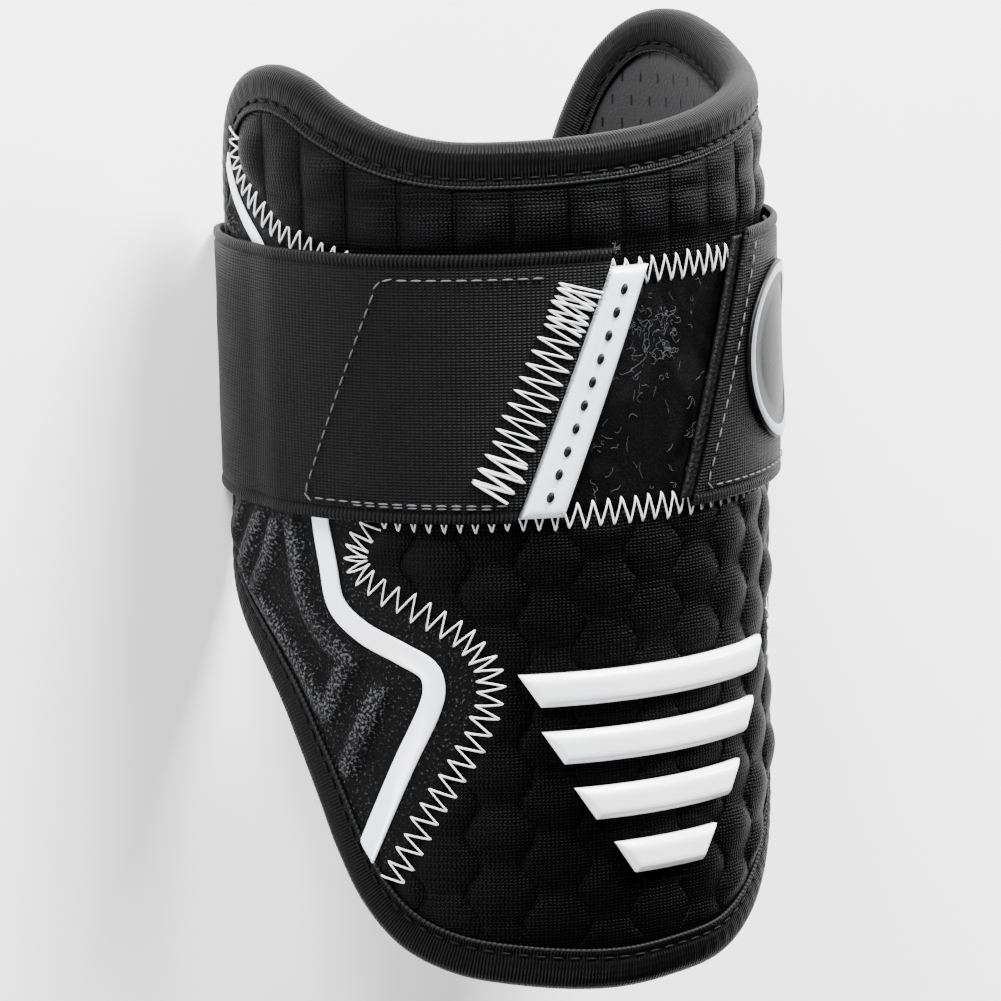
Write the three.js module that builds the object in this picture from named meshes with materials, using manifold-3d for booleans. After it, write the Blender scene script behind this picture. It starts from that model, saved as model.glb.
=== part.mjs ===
// A batter's elbow guard: a C-shaped padded shell with a knit cover, sewn panels,
// an edge binding and one wide elastic strap that closes it round the elbow.
// Millimetres. The guard is drawn upright, as it is worn: its front faces -Y, the arm's
// axis is Z, and the shell opens at the back. The finished group lies on its back,
// front up, as it lies on a table: +Z is then up and +Y points to the upper rim.
import * as THREE from "three";
import { mergeVertices } from "three/addons/utils/BufferGeometryUtils.js";
import Module from "manifold-3d";

// Driving dimensions
const GUARD_HEIGHT = 177; // lowest point of the rim to the taller ear
const COVER_RADIUS = 51.6; // outer face of the cloth covers, from the arm's axis
const WING_ANGLE = 134; // degrees from the centre line to a wing's free edge
const COVER_THICKNESS = 1.4;
const PAD_THICKNESS = 3.2; // foam with the hard shell inside it
const LINING_THICKNESS = 1;
const CLEARANCE = 0.3; // between pieces that are sewn or laid together
const BINDING_WIDTH = 8; // seen on each face of the wall
const BINDING_THICKNESS = 1.4;
const RIM_ROUND = 3; // how far in from the rim the binding's rounding reaches
const PAD_TUCK = 0.8; // from the pad's edge to the inside of the binding's fold
const LINING_EASE = 1.1; // from the binding's inner edge to the lining
const STRAP_WIDTH = 50;
const STRAP_THICKNESS = 1.4;
const STRAP_LOW = 90.7; // height of the strap's lower edge
const WAIST_DEPTH = 1.6; // how far the strap draws the wings in
const WAIST_REACH = 60; // how far above and below the strap's middle that is felt
const WAIST_START = 55; // degrees round the arm where it begins, and where it is full
const WAIST_FULL = 105;
const LOOP_RISE = 0.5; // the loop panel's lower seam, above the strap's lower edge
const LOOP_DROP = 5.1; // its upper seam, below the strap's upper edge
const STRAP_CORNER = 4.2; // inside radius where the strap leaves a wing
const STRAP_BACK_GAP = 0.5; // from the wings' free edges to the strap behind them
const STRAP_END_GAP = 2; // the hook patch shows this far past the far end
const HOOK_THICKNESS = 0.8;
const HOOK_MARGIN = 1.5; // from a hook patch to the strap's edges
const STRIPE_WIDTH = 4.3;
const STRIPE_THICKNESS = 0.25;
const LABEL_WIDTH = 8.3;
const LABEL_HEIGHT = 45.6;
const LABEL_RISE = 0.6; // above the strap's lower edge
const LABEL_THICKNESS = 2.5;
const LABEL_CHAMFER = 0.9;
const LUMP_HEIGHT = 0.7; // quilting of the knit covers
const RIB_HEIGHT = 0.7; // embossed ribs of the side panels
const RIB_LEAN = 22; // how much higher a rib is at its inner end
const BAR_THICKNESS = 1.8; // moulded bars on the front
const BAR_DEPTH = 6.2;
const BAR_PITCH = 11;
const BAR_CHAMFER = 0.8;
const BAR_END_SLANT = 4;
const BAR_TOP = 62;
const BADGE_WIDTH = 36;
const BADGE_HEIGHT = 34;
const BADGE_THICKNESS = 0.7;
const BADGE_RIM = 3;
const BADGE_ANGLE = 38; // centre of the badge, from the centre line

// Radii that follow from the layers
const COVER_INNER = COVER_RADIUS - COVER_THICKNESS;
const PAD_OUTER = COVER_INNER - CLEARANCE;
const PAD_INNER = PAD_OUTER - PAD_THICKNESS;
const LINING_OUTER = PAD_INNER - CLEARANCE;
const LINING_INNER = LINING_OUTER - LINING_THICKNESS;
const BINDING_OUTER = PAD_OUTER + CLEARANCE + BINDING_THICKNESS;
const BINDING_INNER = PAD_INNER - CLEARANCE - BINDING_THICKNESS;
const STRIPE_INNER = COVER_RADIUS + CLEARANCE;
const STRAP_INNER = STRIPE_INNER + STRIPE_THICKNESS + CLEARANCE;
const STRAP_RAISED = STRAP_INNER + HOOK_THICKNESS + CLEARANCE; // over a hook patch
const STRAP_HIGH = STRAP_LOW + STRAP_WIDTH;
const STRAP_MIDDLE = STRAP_LOW + STRAP_WIDTH / 2;

// The rim's outline, unrolled: across is a share of the wing angle, from the wearer's
// left wing to the right one as seen from the front, and up a share of the guard's height.
const RIM = [
  { across: -1.0, up: 0.53 },
  { across: -0.993, up: 0.63 },
  { across: -0.968, up: 0.735 },
  { across: -0.94, up: 0.825 },
  { across: -0.9, up: 0.888 },
  { across: -0.843, up: 0.942 },
  { across: -0.776, up: 0.972 },
  { across: -0.7, up: 0.982 },
  { across: -0.627, up: 0.973 },
  { across: -0.552, up: 0.947 },
  { across: -0.463, up: 0.922 },
  { across: -0.373, up: 0.909 },
  { across: -0.254, up: 0.907 },
  { across: -0.119, up: 0.91 },
  { across: 0.0, up: 0.916 },
  { across: 0.119, up: 0.926 },
  { across: 0.254, up: 0.94 },
  { across: 0.373, up: 0.95 },
  { across: 0.478, up: 0.965 },
  { across: 0.567, up: 0.984 },
  { across: 0.657, up: 0.998 },
  { across: 0.731, up: 0.996 },
  { across: 0.798, up: 0.977 },
  { across: 0.858, up: 0.94 },
  { across: 0.903, up: 0.89 },
  { across: 0.94, up: 0.825 },
  { across: 0.968, up: 0.735 },
  { across: 0.993, up: 0.63 },
  { across: 1.0, up: 0.53 },
  { across: 0.985, up: 0.468 },
  { across: 0.935, up: 0.427 },
  { across: 0.85, up: 0.398 },
  { across: 0.75, up: 0.368 },
  { across: 0.64, up: 0.334 },
  { across: 0.54, up: 0.29 },
  { across: 0.462, up: 0.225 },
  { across: 0.384, up: 0.157 },
  { across: 0.296, up: 0.088 },
  { across: 0.203, up: 0.04 },
  { across: 0.105, up: 0.012 },
  { across: -0.015, up: 0.003 },
  { across: -0.127, up: 0.0 },
  { across: -0.284, up: 0.011 },
  { across: -0.392, up: 0.025 },
  { across: -0.48, up: 0.052 },
  { across: -0.546, up: 0.096 },
  { across: -0.595, up: 0.151 },
  { across: -0.632, up: 0.204 },
  { across: -0.672, up: 0.254 },
  { across: -0.716, up: 0.299 },
  { across: -0.778, up: 0.34 },
  { across: -0.868, up: 0.379 },
  { across: -0.94, up: 0.415 },
  { across: -0.985, up: 0.468 },
];

// The seam between the side panel and the knit covers, from the lower rim to the upper.
// It is the same on both sides; across is the share of the wing angle from the centre line.
const SIDE_SEAM = [
  { across: 0.52, up: 0.09 },
  { across: 0.478, up: 0.128 },
  { across: 0.448, up: 0.162 },
  { across: 0.418, up: 0.2 },
  { across: 0.373, up: 0.244 },
  { across: 0.336, up: 0.287 },
  { across: 0.313, up: 0.33 },
  { across: 0.315, up: 0.357 },
  { across: 0.34, up: 0.382 },
  { across: 0.388, up: 0.404 },
  { across: 0.455, up: 0.429 },
  { across: 0.515, up: 0.45 },
  { across: 0.54, up: 0.468 },
  { across: 0.525, up: 0.486 },
  { across: 0.498, up: 0.503 },
  { across: 0.492, up: 0.52 },
  { across: 0.492, up: 0.54 },
  { across: 0.492, up: 0.64 },
  { across: 0.492, up: 0.74 },
  { across: 0.495, up: 0.762 },
  { across: 0.522, up: 0.778 },
  { across: 0.596, up: 0.793 },
  { across: 0.68, up: 0.813 },
  { across: 0.726, up: 0.831 },
  { across: 0.763, up: 0.848 },
  { across: 0.79, up: 0.868 },
  { across: 0.8, up: 0.892 },
  { across: 0.79, up: 0.925 },
];
const LOOP_HALF = 0.48; // half the loop panel's width, a share of the wing angle

// The side stripe's centre line, in the same shares as the seam.
const STRIPE = [
  { across: 0.515, up: 0.167 },
  { across: 0.455, up: 0.253 },
  { across: 0.41, up: 0.315 },
  { across: 0.403, up: 0.335 },
  { across: 0.41, up: 0.354 },
  { across: 0.455, up: 0.372 },
  { across: 0.522, up: 0.393 },
  { across: 0.567, up: 0.419 },
  { across: 0.582, up: 0.46 },
  { across: 0.597, up: 0.511 },
  { across: 0.612, up: 0.62 },
  { across: 0.657, up: 0.715 },
  { across: 0.73, up: 0.79 },
  { across: 0.775, up: 0.817 },
  { across: 0.815, up: 0.845 },
  { across: 0.835, up: 0.875 },
  { across: 0.835, up: 0.91 },
];
const STRIPE_TAPER = 0.55; // its width at the upper end, as a share

// The strap's slanted ends: shares of the wing angle at its lower and upper edges.
const NEAR_END = { low: -0.272, high: -0.112 };
const FAR_END = { low: 0.015, high: 0.164 };
const HOOK_NEAR = { low: -0.615, high: -0.475 }; // the near hook patch's inner edge
const HOOK_FAR = { low: 0.26, high: 0.41 };

// The moulded bars on the front, from the top one down: widths as shares of the widest.
const BARS = [{ width: 1 }, { width: 0.86 }, { width: 0.66 }, { width: 0.4 }];
const WIDEST_BAR = 58;
const BAR_ACROSS = -4; // their middle, in millimetres from the centre line

// Mesh steps
const RIM_STATIONS = 82;
const PAD_COLUMNS = 36;
const PAD_CELLS = 6;
const LINING_COLUMNS = 22;
const LINING_CELLS = 5;
const LUMP_PITCH = 10.6; // one quilted lump across, two mesh columns
const LUMP_RISE = 16;
const RIB_PITCH = 14;
const STEP = 5.5; // widest mesh step round the arm
const COVER_CUT = 3.5; // how far a cutting region reaches inwards and outwards
const STRAP_CUT = 8;
const OVERRUN = 2; // how far a cutting region runs on past what it cuts

const radians = THREE.MathUtils.degToRad;
const lerp = THREE.MathUtils.lerp;
const ACROSS = radians(WING_ANGLE) * COVER_RADIUS; // half the unrolled width
const shareToFlat = ({ across, up }) => ({ s: across * ACROSS, z: up * GUARD_HEIGHT });
const shares = (count) => Array.from({ length: count + 1 }, (_, i) => i / count);
const eased = (t) => (1 - Math.cos(Math.PI * t)) / 2;

// How far the wings are drawn in under the strap, at an angle and a height.
function waist(angle, z) {
  const { smoothstep, clamp } = THREE.MathUtils;
  const wing = smoothstep(Math.abs(angle), radians(WAIST_START), radians(WAIST_FULL));
  const away = clamp(Math.abs(z - STRAP_MIDDLE) / WAIST_REACH, 0, 1);
  return WAIST_DEPTH * wing * (1 - eased(away));
}

// From the unrolled plan to the guard: s runs round the arm, z along it.
function wrap(s, z, radius) {
  const angle = s / COVER_RADIUS;
  const r = radius - waist(angle, z);
  return new THREE.Vector3(r * Math.sin(angle), -r * Math.cos(angle), z);
}

// A smooth curve through the rows of a table, as points of the unrolled plan.
function smooth(table, count, closed = false) {
  const knots = table.map(shareToFlat).map(({ s, z }) => new THREE.Vector3(s, z, 0));
  const curve = new THREE.CatmullRomCurve3(knots, closed, "centripetal");
  return curve.getSpacedPoints(count).map((p) => ({ s: p.x, z: p.y }));
}

// The rim's stations, each with its inward direction in the unrolled plan.
function rimStations(count) {
  const points = smooth(RIM, count, true).slice(0, count);
  return points.map((p, i) => {
    const before = points[(i + count - 1) % count];
    const after = points[(i + 1) % count];
    const length = Math.hypot(after.s - before.s, after.z - before.z);
    return { ...p, ns: (after.z - before.z) / length, nz: -(after.s - before.s) / length };
  });
}

const RIM_LINE = rimStations(RIM_STATIONS);

// The rim moved in by a distance, as a closed line of the unrolled plan.
function inset(distance) {
  return RIM_LINE.map((p) => ({ s: p.s + p.ns * distance, z: p.z + p.nz * distance }));
}

// Where a line of the plan crosses one height or one place across.
function crossings(line, key, value, other, closed = true) {
  const found = [];
  for (let i = closed ? 0 : 1; i < line.length; i++) {
    const a = line[(i + line.length - 1) % line.length];
    const b = line[i];
    if (a[key] <= value === b[key] <= value) continue;
    const t = (value - a[key]) / (b[key] - a[key]);
    found.push(lerp(a[other], b[other], t));
  }
  return found;
}

// A mesh grid between two lines: columns across, each from low to high.
function gridByColumns(columns, low, high, steps) {
  return columns.map((s) => steps.map((t) => ({ s, z: lerp(low(s), high(s), t) })));
}

// The same, from level lines, each from left to right.
function gridByLevels(levels, left, right, steps) {
  return steps.map((t) => levels.map((z) => ({ s: lerp(left(z), right(z), t), z })));
}

// A closed wall over a grid of points. place(point, inner) gives a point's inner or outer spot.
function wallFromGrid(grid, place) {
  const across = grid.length;
  const up = grid[0].length;
  const faces = [true, false].map((inner) => grid.map((col) => col.map((p) => place(p, inner))));
  const [innerFace, outerFace] = faces;
  const positions = [];
  const quad = (a, b, c, d) => {
    for (const p of [a, b, c, a, c, d]) positions.push(p.x, p.y, p.z);
  };
  const raised = (i, j) => grid[i][j].relief ?? 0;
  for (let i = 0; i + 1 < across; i++) {
    for (let j = 0; j + 1 < up; j++) {
      const around = [outerFace[i][j], outerFace[i + 1][j], outerFace[i + 1][j + 1], outerFace[i][j + 1]];
      const ridge = raised(i, j) + raised(i + 1, j + 1) >= raised(i + 1, j) + raised(i, j + 1);
      if (ridge) quad(...around);
      else quad(...around.slice(1), around[0]);
      quad(innerFace[i][j], innerFace[i][j + 1], innerFace[i + 1][j + 1], innerFace[i + 1][j]);
    }
  }
  for (let i = 0; i + 1 < across; i++) {
    const last = up - 1;
    quad(innerFace[i][0], innerFace[i + 1][0], outerFace[i + 1][0], outerFace[i][0]);
    quad(outerFace[i][last], outerFace[i + 1][last], innerFace[i + 1][last], innerFace[i][last]);
  }
  for (let j = 0; j + 1 < up; j++) {
    const last = across - 1;
    quad(outerFace[0][j], outerFace[0][j + 1], innerFace[0][j + 1], innerFace[0][j]);
    quad(innerFace[last][j], innerFace[last][j + 1], outerFace[last][j + 1], outerFace[last][j]);
  }
  return geometryOf(positions);
}

function geometryOf(positions) {
  const geometry = new THREE.BufferGeometry();
  geometry.setAttribute("position", new THREE.Float32BufferAttribute(positions, 3));
  geometry.computeVertexNormals();
  return geometry;
}

const wasm = await Module();
wasm.setup();

// A closed geometry as a body that can be cut, and back again.
function body(geometry) {
  const bare = new THREE.BufferGeometry();
  bare.setAttribute("position", geometry.getAttribute("position"));
  bare.setIndex(geometry.index);
  const merged = mergeVertices(bare, 1e-4);
  const vertProperties = new Float32Array(merged.getAttribute("position").array);
  const triVerts = new Uint32Array(merged.index.array);
  return new wasm.Manifold(new wasm.Mesh({ numProp: 3, vertProperties, triVerts }));
}

function geometryFrom(solid) {
  const { numProp, vertProperties, triVerts } = solid.getMesh();
  const positions = [];
  for (const v of triVerts) positions.push(...vertProperties.slice(v * numProp, v * numProp + 3));
  return geometryOf(positions);
}

// A wall of the unrolled plan between two radii, with an optional relief on its outer face.
function wrappedWall(grid, innerRadius, outerRadius) {
  return wallFromGrid(grid, (p, inner) =>
    wrap(p.s, p.z, inner ? innerRadius : outerRadius + (p.relief ?? 0)),
  );
}

function withRelief(grid, relief) {
  return grid.map((col, i) => col.map((p, j) => ({ ...p, relief: relief(i, j, p) })));
}

// A raised block's grid: its border points are lower by the chamfer.
function chamfered(grid, chamfer) {
  const last = { i: grid.length - 1, j: grid[0].length - 1 };
  return withRelief(grid, (i, j) =>
    i === 0 || j === 0 || i === last.i || j === last.j ? -chamfer : 0,
  );
}

// Columns across a closed outline, closer together at its two ends.
function columnsWithin(line, count, margin) {
  const s = line.map((p) => p.s);
  const ends = [Math.min(...s) + margin, Math.max(...s) - margin];
  return shares(count).map((t) => lerp(...ends, lerp(t, eased(t), 0.7)));
}

// The padded wall and the lining both fill the rim's outline, moved in.
function fullWall(line, columns, cells, innerRadius, outerRadius) {
  const low = (s) => Math.min(...crossings(line, "s", s, "z"));
  const high = (s) => Math.max(...crossings(line, "s", s, "z"));
  const grid = gridByColumns(columnsWithin(line, columns, 0.6), low, high, shares(cells));
  return wrappedWall(grid, innerRadius, outerRadius);
}

function padGeometry() {
  const line = inset(BINDING_THICKNESS + PAD_TUCK);
  return fullWall(line, PAD_COLUMNS, PAD_CELLS, PAD_INNER, PAD_OUTER);
}

function liningGeometry() {
  const line = inset(BINDING_WIDTH + LINING_EASE);
  return fullWall(line, LINING_COLUMNS, LINING_CELLS, LINING_INNER, LINING_OUTER);
}

// The binding folds over the rim: a U section carried round the whole outline.
function bindingGeometry() {
  const middle = (BINDING_OUTER + BINDING_INNER) / 2;
  const half = (BINDING_OUTER - BINDING_INNER) / 2;
  const fold = [55, 0, -55].map(radians).map((a) => ({
    d: RIM_ROUND * (1 - Math.cos(a)),
    r: middle + half * Math.sin(a),
  }));
  const section = [
    { d: BINDING_WIDTH, r: BINDING_OUTER },
    { d: RIM_ROUND, r: BINDING_OUTER },
    ...fold,
    { d: RIM_ROUND, r: BINDING_INNER },
    { d: BINDING_WIDTH, r: BINDING_INNER },
    { d: BINDING_WIDTH, r: BINDING_INNER + BINDING_THICKNESS },
    { d: BINDING_THICKNESS, r: BINDING_INNER + BINDING_THICKNESS },
    { d: BINDING_THICKNESS, r: BINDING_OUTER - BINDING_THICKNESS },
    { d: BINDING_WIDTH, r: BINDING_OUTER - BINDING_THICKNESS },
  ];
  const rings = RIM_LINE.map((p) =>
    section.map(({ d, r }) => wrap(p.s + p.ns * d, p.z + p.nz * d, r)),
  );
  const positions = [];
  rings.forEach((ring, i) => {
    const next = rings[(i + 1) % rings.length];
    ring.forEach((a, j) => {
      const k = (j + 1) % ring.length;
      for (const p of [a, next[j], next[k], a, next[k], ring[k]]) positions.push(p.x, p.y, p.z);
    });
  });
  return geometryOf(positions);
}

// Cover pieces are cut from regular sheets, so that neighbours share their seam lines.
const PANEL_EDGE = inset(BINDING_WIDTH + CLEARANCE);
const SEAM_LINE = smooth(SIDE_SEAM, 160);
const SEAM_GAP = CLEARANCE / 2;
const SEAM_RANGE = [SEAM_LINE[0].z, SEAM_LINE.at(-1).z];
const LOOP_LOW = STRAP_LOW + LOOP_RISE;
const LOOP_HIGH = STRAP_HIGH - LOOP_DROP;

// How far out the side seam is at a height; it ends at the rim, above and below.
function seamAt(z) {
  const height = THREE.MathUtils.clamp(z, SEAM_RANGE[0] + 0.01, SEAM_RANGE[1] - 0.01);
  return crossings(SEAM_LINE, "z", height, "s", false)[0];
}

const evenSteps = (from, to, widest) => {
  const count = Math.max(1, Math.ceil((to - from) / widest));
  return shares(count).map((t) => lerp(from, to, t));
};
const rectangle = (columns, rows) => columns.map((s) => rows.map((z) => ({ s, z })));
const region = (grid, reach) => body(wrappedWall(grid, COVER_RADIUS - reach, COVER_RADIUS + reach));

// Everything inside the binding
function insideBinding() {
  const low = (s) => Math.min(...crossings(PANEL_EDGE, "s", s, "z"));
  const high = (s) => Math.max(...crossings(PANEL_EDGE, "s", s, "z"));
  const corners = PANEL_EDGE.map((p) => p.s).sort((a, b) => a - b).slice(1, -1);
  const columns = corners.filter((s, i) => i === 0 || s - corners[i - 1] > 0.02);
  return region(gridByColumns(columns, low, high, shares(5)), COVER_CUT);
}

// One side's ground beyond the seam, shifted outwards or inwards
function beyondSeam(side, shift) {
  const levels = evenSteps(SEAM_RANGE[0] - OVERRUN, SEAM_RANGE[1] + OVERRUN, STEP);
  const far = ACROSS + OVERRUN;
  const inner = (z) => seamAt(z) + shift;
  const grid = gridByLevels(levels, inner, () => far, shares(12));
  const mirrored = grid.map((col) => col.map((p) => ({ ...p, s: -p.s }))).reverse();
  return region(side < 0 ? mirrored : grid, COVER_CUT);
}

// A slanted region between two lines that lean with the strap's ends
function leaning(left, right) {
  const levels = evenSteps(STRAP_LOW - OVERRUN, STRAP_HIGH + OVERRUN, STEP);
  return region(gridByLevels(levels, left, right, shares(10)), STRAP_CUT);
}

const INSIDE = insideBinding();
const SIDES = beyondSeam(-1, -SEAM_GAP).add(beyondSeam(1, -SEAM_GAP));

// A knit cover between two heights. Its lumps stand in staggered columns and are flat
// under the strap.
function knitGeometry(low, high) {
  const half = Math.ceil((0.9 * ACROSS) / LUMP_PITCH) * LUMP_PITCH;
  const columns = evenSteps(-half, half, LUMP_PITCH / 2);
  const rows = evenSteps(low, high, LUMP_RISE / 2);
  const sheet = withRelief(rectangle(columns, rows), (i, j, p) => {
    const covered = p.z > STRAP_LOW - CLEARANCE && p.z < STRAP_HIGH + CLEARANCE;
    const staggered = (i % 4 === 1 && j % 2 === 1) || (i % 4 === 3 && j % 2 === 0);
    return staggered && !covered ? LUMP_HEIGHT : 0;
  });
  const cover = body(wrappedWall(sheet, COVER_INNER, COVER_RADIUS));
  return geometryFrom(cover.intersect(INSIDE).subtract(SIDES));
}

// The side stripe's course: a band along its centre line, with a margin on each side
function stripeBand(side, margin) {
  const line = smooth(STRIPE, 24);
  const last = line.length - 1;
  const band = line.map((p, i) => {
    const a = line[Math.max(i - 1, 0)];
    const b = line[Math.min(i + 1, last)];
    const length = Math.hypot(b.s - a.s, b.z - a.z);
    const taper = lerp(1, STRIPE_TAPER, Math.max(0, (2 * i) / last - 1));
    const half = (STRIPE_WIDTH / 2) * taper + margin;
    return { ...p, ds: ((b.z - a.z) / length) * half, dz: (-(b.s - a.s) / length) * half };
  });
  const edge = (sign) => band.map((p) => ({ s: side * (p.s + sign * p.ds), z: p.z + sign * p.dz }));
  return [edge(-side), edge(side)];
}

function stripeGeometry(side) {
  const band = wrappedWall(stripeBand(side, 0), STRIPE_INNER, STRIPE_INNER + STRIPE_THICKNESS);
  return geometryFrom(body(band).intersect(INSIDE));
}

// A side panel, with embossed ribs that lean up towards the front and stop short of the
// stripe. side is -1 or 1.
function sidePanelGeometry(side) {
  const columns = evenSteps(0.25 * ACROSS, ACROSS, 1.6 * STEP);
  const lean = (s) => -RIB_LEAN * (s / ACROSS);
  const rows = evenSteps(0, 1.2 * GUARD_HEIGHT, RIB_PITCH / 2);
  const grid = columns.map((s) => rows.map((z) => ({ s, z: z + lean(s) })));
  const ribbed = withRelief(grid, (i, j, p) => {
    const covered = p.z > STRAP_LOW - CLEARANCE && p.z < STRAP_HIGH + CLEARANCE;
    return j % 2 && !covered ? RIB_HEIGHT : 0;
  });
  const mirrored = ribbed.map((col) => col.map((p) => ({ ...p, s: -p.s }))).reverse();
  const sheet = body(wrappedWall(side < 0 ? mirrored : ribbed, COVER_INNER, COVER_RADIUS));
  const channel = wrappedWall(stripeBand(side, 2 * CLEARANCE), COVER_RADIUS + 0.02, STRAP_RAISED);
  const cut = sheet.intersect(INSIDE).intersect(beyondSeam(side, SEAM_GAP));
  return geometryFrom(cut.subtract(body(channel)));
}

// The brushed panel that the strap's hooks hold on to
function loopPanelGeometry() {
  const half = LOOP_HALF * ACROSS;
  const rows = [LOOP_LOW + SEAM_GAP, LOOP_HIGH - SEAM_GAP];
  return wrappedWall(rectangle(evenSteps(-half, half, STEP), rows), COVER_INNER, COVER_RADIUS);
}

// The strap: from its slanted near end round one wing, straight across the open back,
// round the other wing to its slanted far end.
function strapGeometry(backReach) {
  const inner = backReach + STRAP_BACK_GAP;
  const drawnIn = (angle) => waist(angle, STRAP_LOW);
  const centre = STRAP_INNER - drawnIn(Math.PI) - STRAP_CORNER;
  const turn = Math.acos((inner - STRAP_CORNER) / centre);
  const leave = Math.PI - turn; // where the strap leaves the wing's curve
  const raise = (angle) => {
    const near = THREE.MathUtils.smoothstep(angle, radians(-100), radians(-88));
    const far = 1 - THREE.MathUtils.smoothstep(angle, radians(58), radians(70));
    return lerp(STRAP_INNER, STRAP_RAISED, angle < 0 ? near : far);
  };
  const onWing = (angle) => {
    const normal = { x: Math.sin(angle), y: -Math.cos(angle) };
    const r = raise(angle) - drawnIn(angle);
    return { x: r * normal.x, y: r * normal.y, normal };
  };
  const onCorner = (side, angle) => {
    const normal = { x: side * Math.sin(angle), y: -Math.cos(angle) };
    return {
      x: side * centre * Math.sin(leave) + STRAP_CORNER * normal.x,
      y: -centre * Math.cos(leave) + STRAP_CORNER * normal.y,
      normal,
    };
  };
  const levels = [STRAP_LOW, STRAP_HIGH];
  const nearTip = radians(WING_ANGLE) * NEAR_END.high;
  const farTip = radians(WING_ANGLE) * FAR_END.low;
  const near = shares(15).slice(0, -1).map((t) => onWing(lerp(nearTip, -leave, t)));
  const corner = (side, steps) => steps.map((t) => onCorner(side, lerp(leave, Math.PI, t)));
  const far = shares(17).slice(1).map((t) => onWing(lerp(leave, farTip, t)));
  const stations = [...near, ...corner(-1, shares(4)), ...corner(1, shares(4).reverse()), ...far];
  const grid = stations.map((station) => levels.map((z) => ({ ...station, z }))).reverse();
  const band = wallFromGrid(grid, ({ x, y, z, normal }, isInner) => {
    const out = isInner ? 0 : STRAP_THICKNESS;
    return new THREE.Vector3(x + normal.x * out, y + normal.y * out, z);
  });
  const beyondNear = leaning(slanted(NEAR_END), () => NEAR_END.high * ACROSS + OVERRUN);
  const beyondFar = leaning(() => FAR_END.low * ACROSS - OVERRUN, slanted(FAR_END));
  return geometryFrom(body(band).subtract(beyondNear).subtract(beyondFar));
}

// A line of the plan that slants with the strap's end: the place across at a height.
function slanted(end, shift = 0) {
  return (z) => lerp(end.low, end.high, (z - STRAP_LOW) / STRAP_WIDTH) * ACROSS + shift;
}

// The hook patches under the two ends of the strap
function hookPatchGeometry(left, right) {
  const rows = [STRAP_LOW + HOOK_MARGIN, STRAP_HIGH - HOOK_MARGIN];
  const columns = evenSteps(Math.min(...rows.map(left)), Math.max(...rows.map(right)), STEP);
  const sheet = wrappedWall(rectangle(columns, rows), STRAP_INNER, STRAP_INNER + HOOK_THICKNESS);
  return geometryFrom(body(sheet).intersect(leaning(left, right)));
}

// The moulded pull label beside the near end.
function labelGeometry() {
  const end = slanted(NEAR_END);
  const edge = 0.14; // share of the label taken by its chamfer
  const steps = [0, edge, 1 - edge, 1];
  const low = STRAP_LOW + LABEL_RISE;
  const high = low + LABEL_HEIGHT;
  const rows = [0, 0.03, ...shares(8).slice(1, -1), 0.97, 1];
  const heights = rows.map((t) => lerp(low, high, t));
  const left = (z) => end(z) + CLEARANCE;
  const right = (z) => left(z) + LABEL_WIDTH;
  const grid = gridByLevels(heights, left, right, steps);
  const base = COVER_RADIUS + CLEARANCE;
  return wrappedWall(chamfered(grid, LABEL_CHAMFER), base, base + LABEL_THICKNESS);
}

// One moulded bar of the front: it follows the shell, and its ends slant in downwards.
function barGeometry(index) {
  const half = (BARS[index].width * WIDEST_BAR) / 2;
  const high = BAR_TOP - index * BAR_PITCH;
  const heights = [0, 0.16, 0.84, 1].map((t) => lerp(high - BAR_DEPTH, high, t));
  const reach = (z) => half - BAR_END_SLANT * ((high - z) / BAR_DEPTH);
  const edge = 1.2 / (2 * half);
  const steps = [0, edge, ...shares(7).slice(1, -1), 1 - edge, 1];
  const left = (z) => BAR_ACROSS - reach(z);
  const right = (z) => BAR_ACROSS + reach(z);
  const grid = gridByLevels(heights, left, right, steps);
  const base = COVER_RADIUS + LUMP_HEIGHT + CLEARANCE;
  return wrappedWall(chamfered(grid, BAR_CHAMFER), base, base + BAR_THICKNESS);
}

// The oval badge on the strap: a thin plate with a raised rim round it
function badgeGeometry() {
  const centre = { s: radians(BADGE_ANGLE) * COVER_RADIUS, z: (STRAP_LOW + STRAP_HIGH) / 2 };
  const base = STRAP_RAISED + STRAP_THICKNESS + CLEARANCE;
  const oval = (margin) => {
    const cylinder = new THREE.CylinderGeometry(1, 1, 2 * STRAP_CUT, 18);
    cylinder.scale(BADGE_WIDTH / 2 - margin, 1, BADGE_HEIGHT / 2 - margin);
    cylinder.rotateZ(radians(BADGE_ANGLE));
    const middle = wrap(centre.s, centre.z, COVER_RADIUS);
    return body(cylinder.translate(middle.x, middle.y, middle.z));
  };
  const plate = (thickness) => {
    const columns = evenSteps(centre.s - BADGE_WIDTH, centre.s + BADGE_WIDTH, 1.5 * STEP);
    const rows = [centre.z - BADGE_HEIGHT, centre.z + BADGE_HEIGHT];
    return body(wrappedWall(rectangle(columns, rows), base, base + thickness));
  };
  const rim = plate(BADGE_THICKNESS).intersect(oval(0).subtract(oval(BADGE_RIM)));
  return geometryFrom(plate(BADGE_THICKNESS / 2).intersect(oval(0)).add(rim));
}

// Materials
const finish = (color, roughness) => new THREE.MeshStandardMaterial({ color, roughness, metalness: 0 });
const BLACK_KNIT = finish(0x151516, 0.9);
const BLACK_BINDING = finish(0x1b1b1c, 0.85);
const BLACK_FOAM = finish(0x18181a, 0.95);
const BLACK_LINING = finish(0x1a1a1c, 0.9);
const BLACK_LOOP = finish(0x121213, 0.95);
const BLACK_EMBOSSED = finish(0x2a2a2c, 0.9);
const BLACK_ELASTIC = finish(0x1d1d1e, 0.85);
const BLACK_HOOK = finish(0x101011, 0.8);
const SILVER_FILM = finish(0xdfe1e4, 0.35);
const WHITE_RUBBER = finish(0xe6e4e8, 0.4);
const SILVER_RUBBER = finish(0xd5d8dc, 0.3);
const GREY_RUBBER = finish(0x3a3a3c, 0.5);

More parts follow.
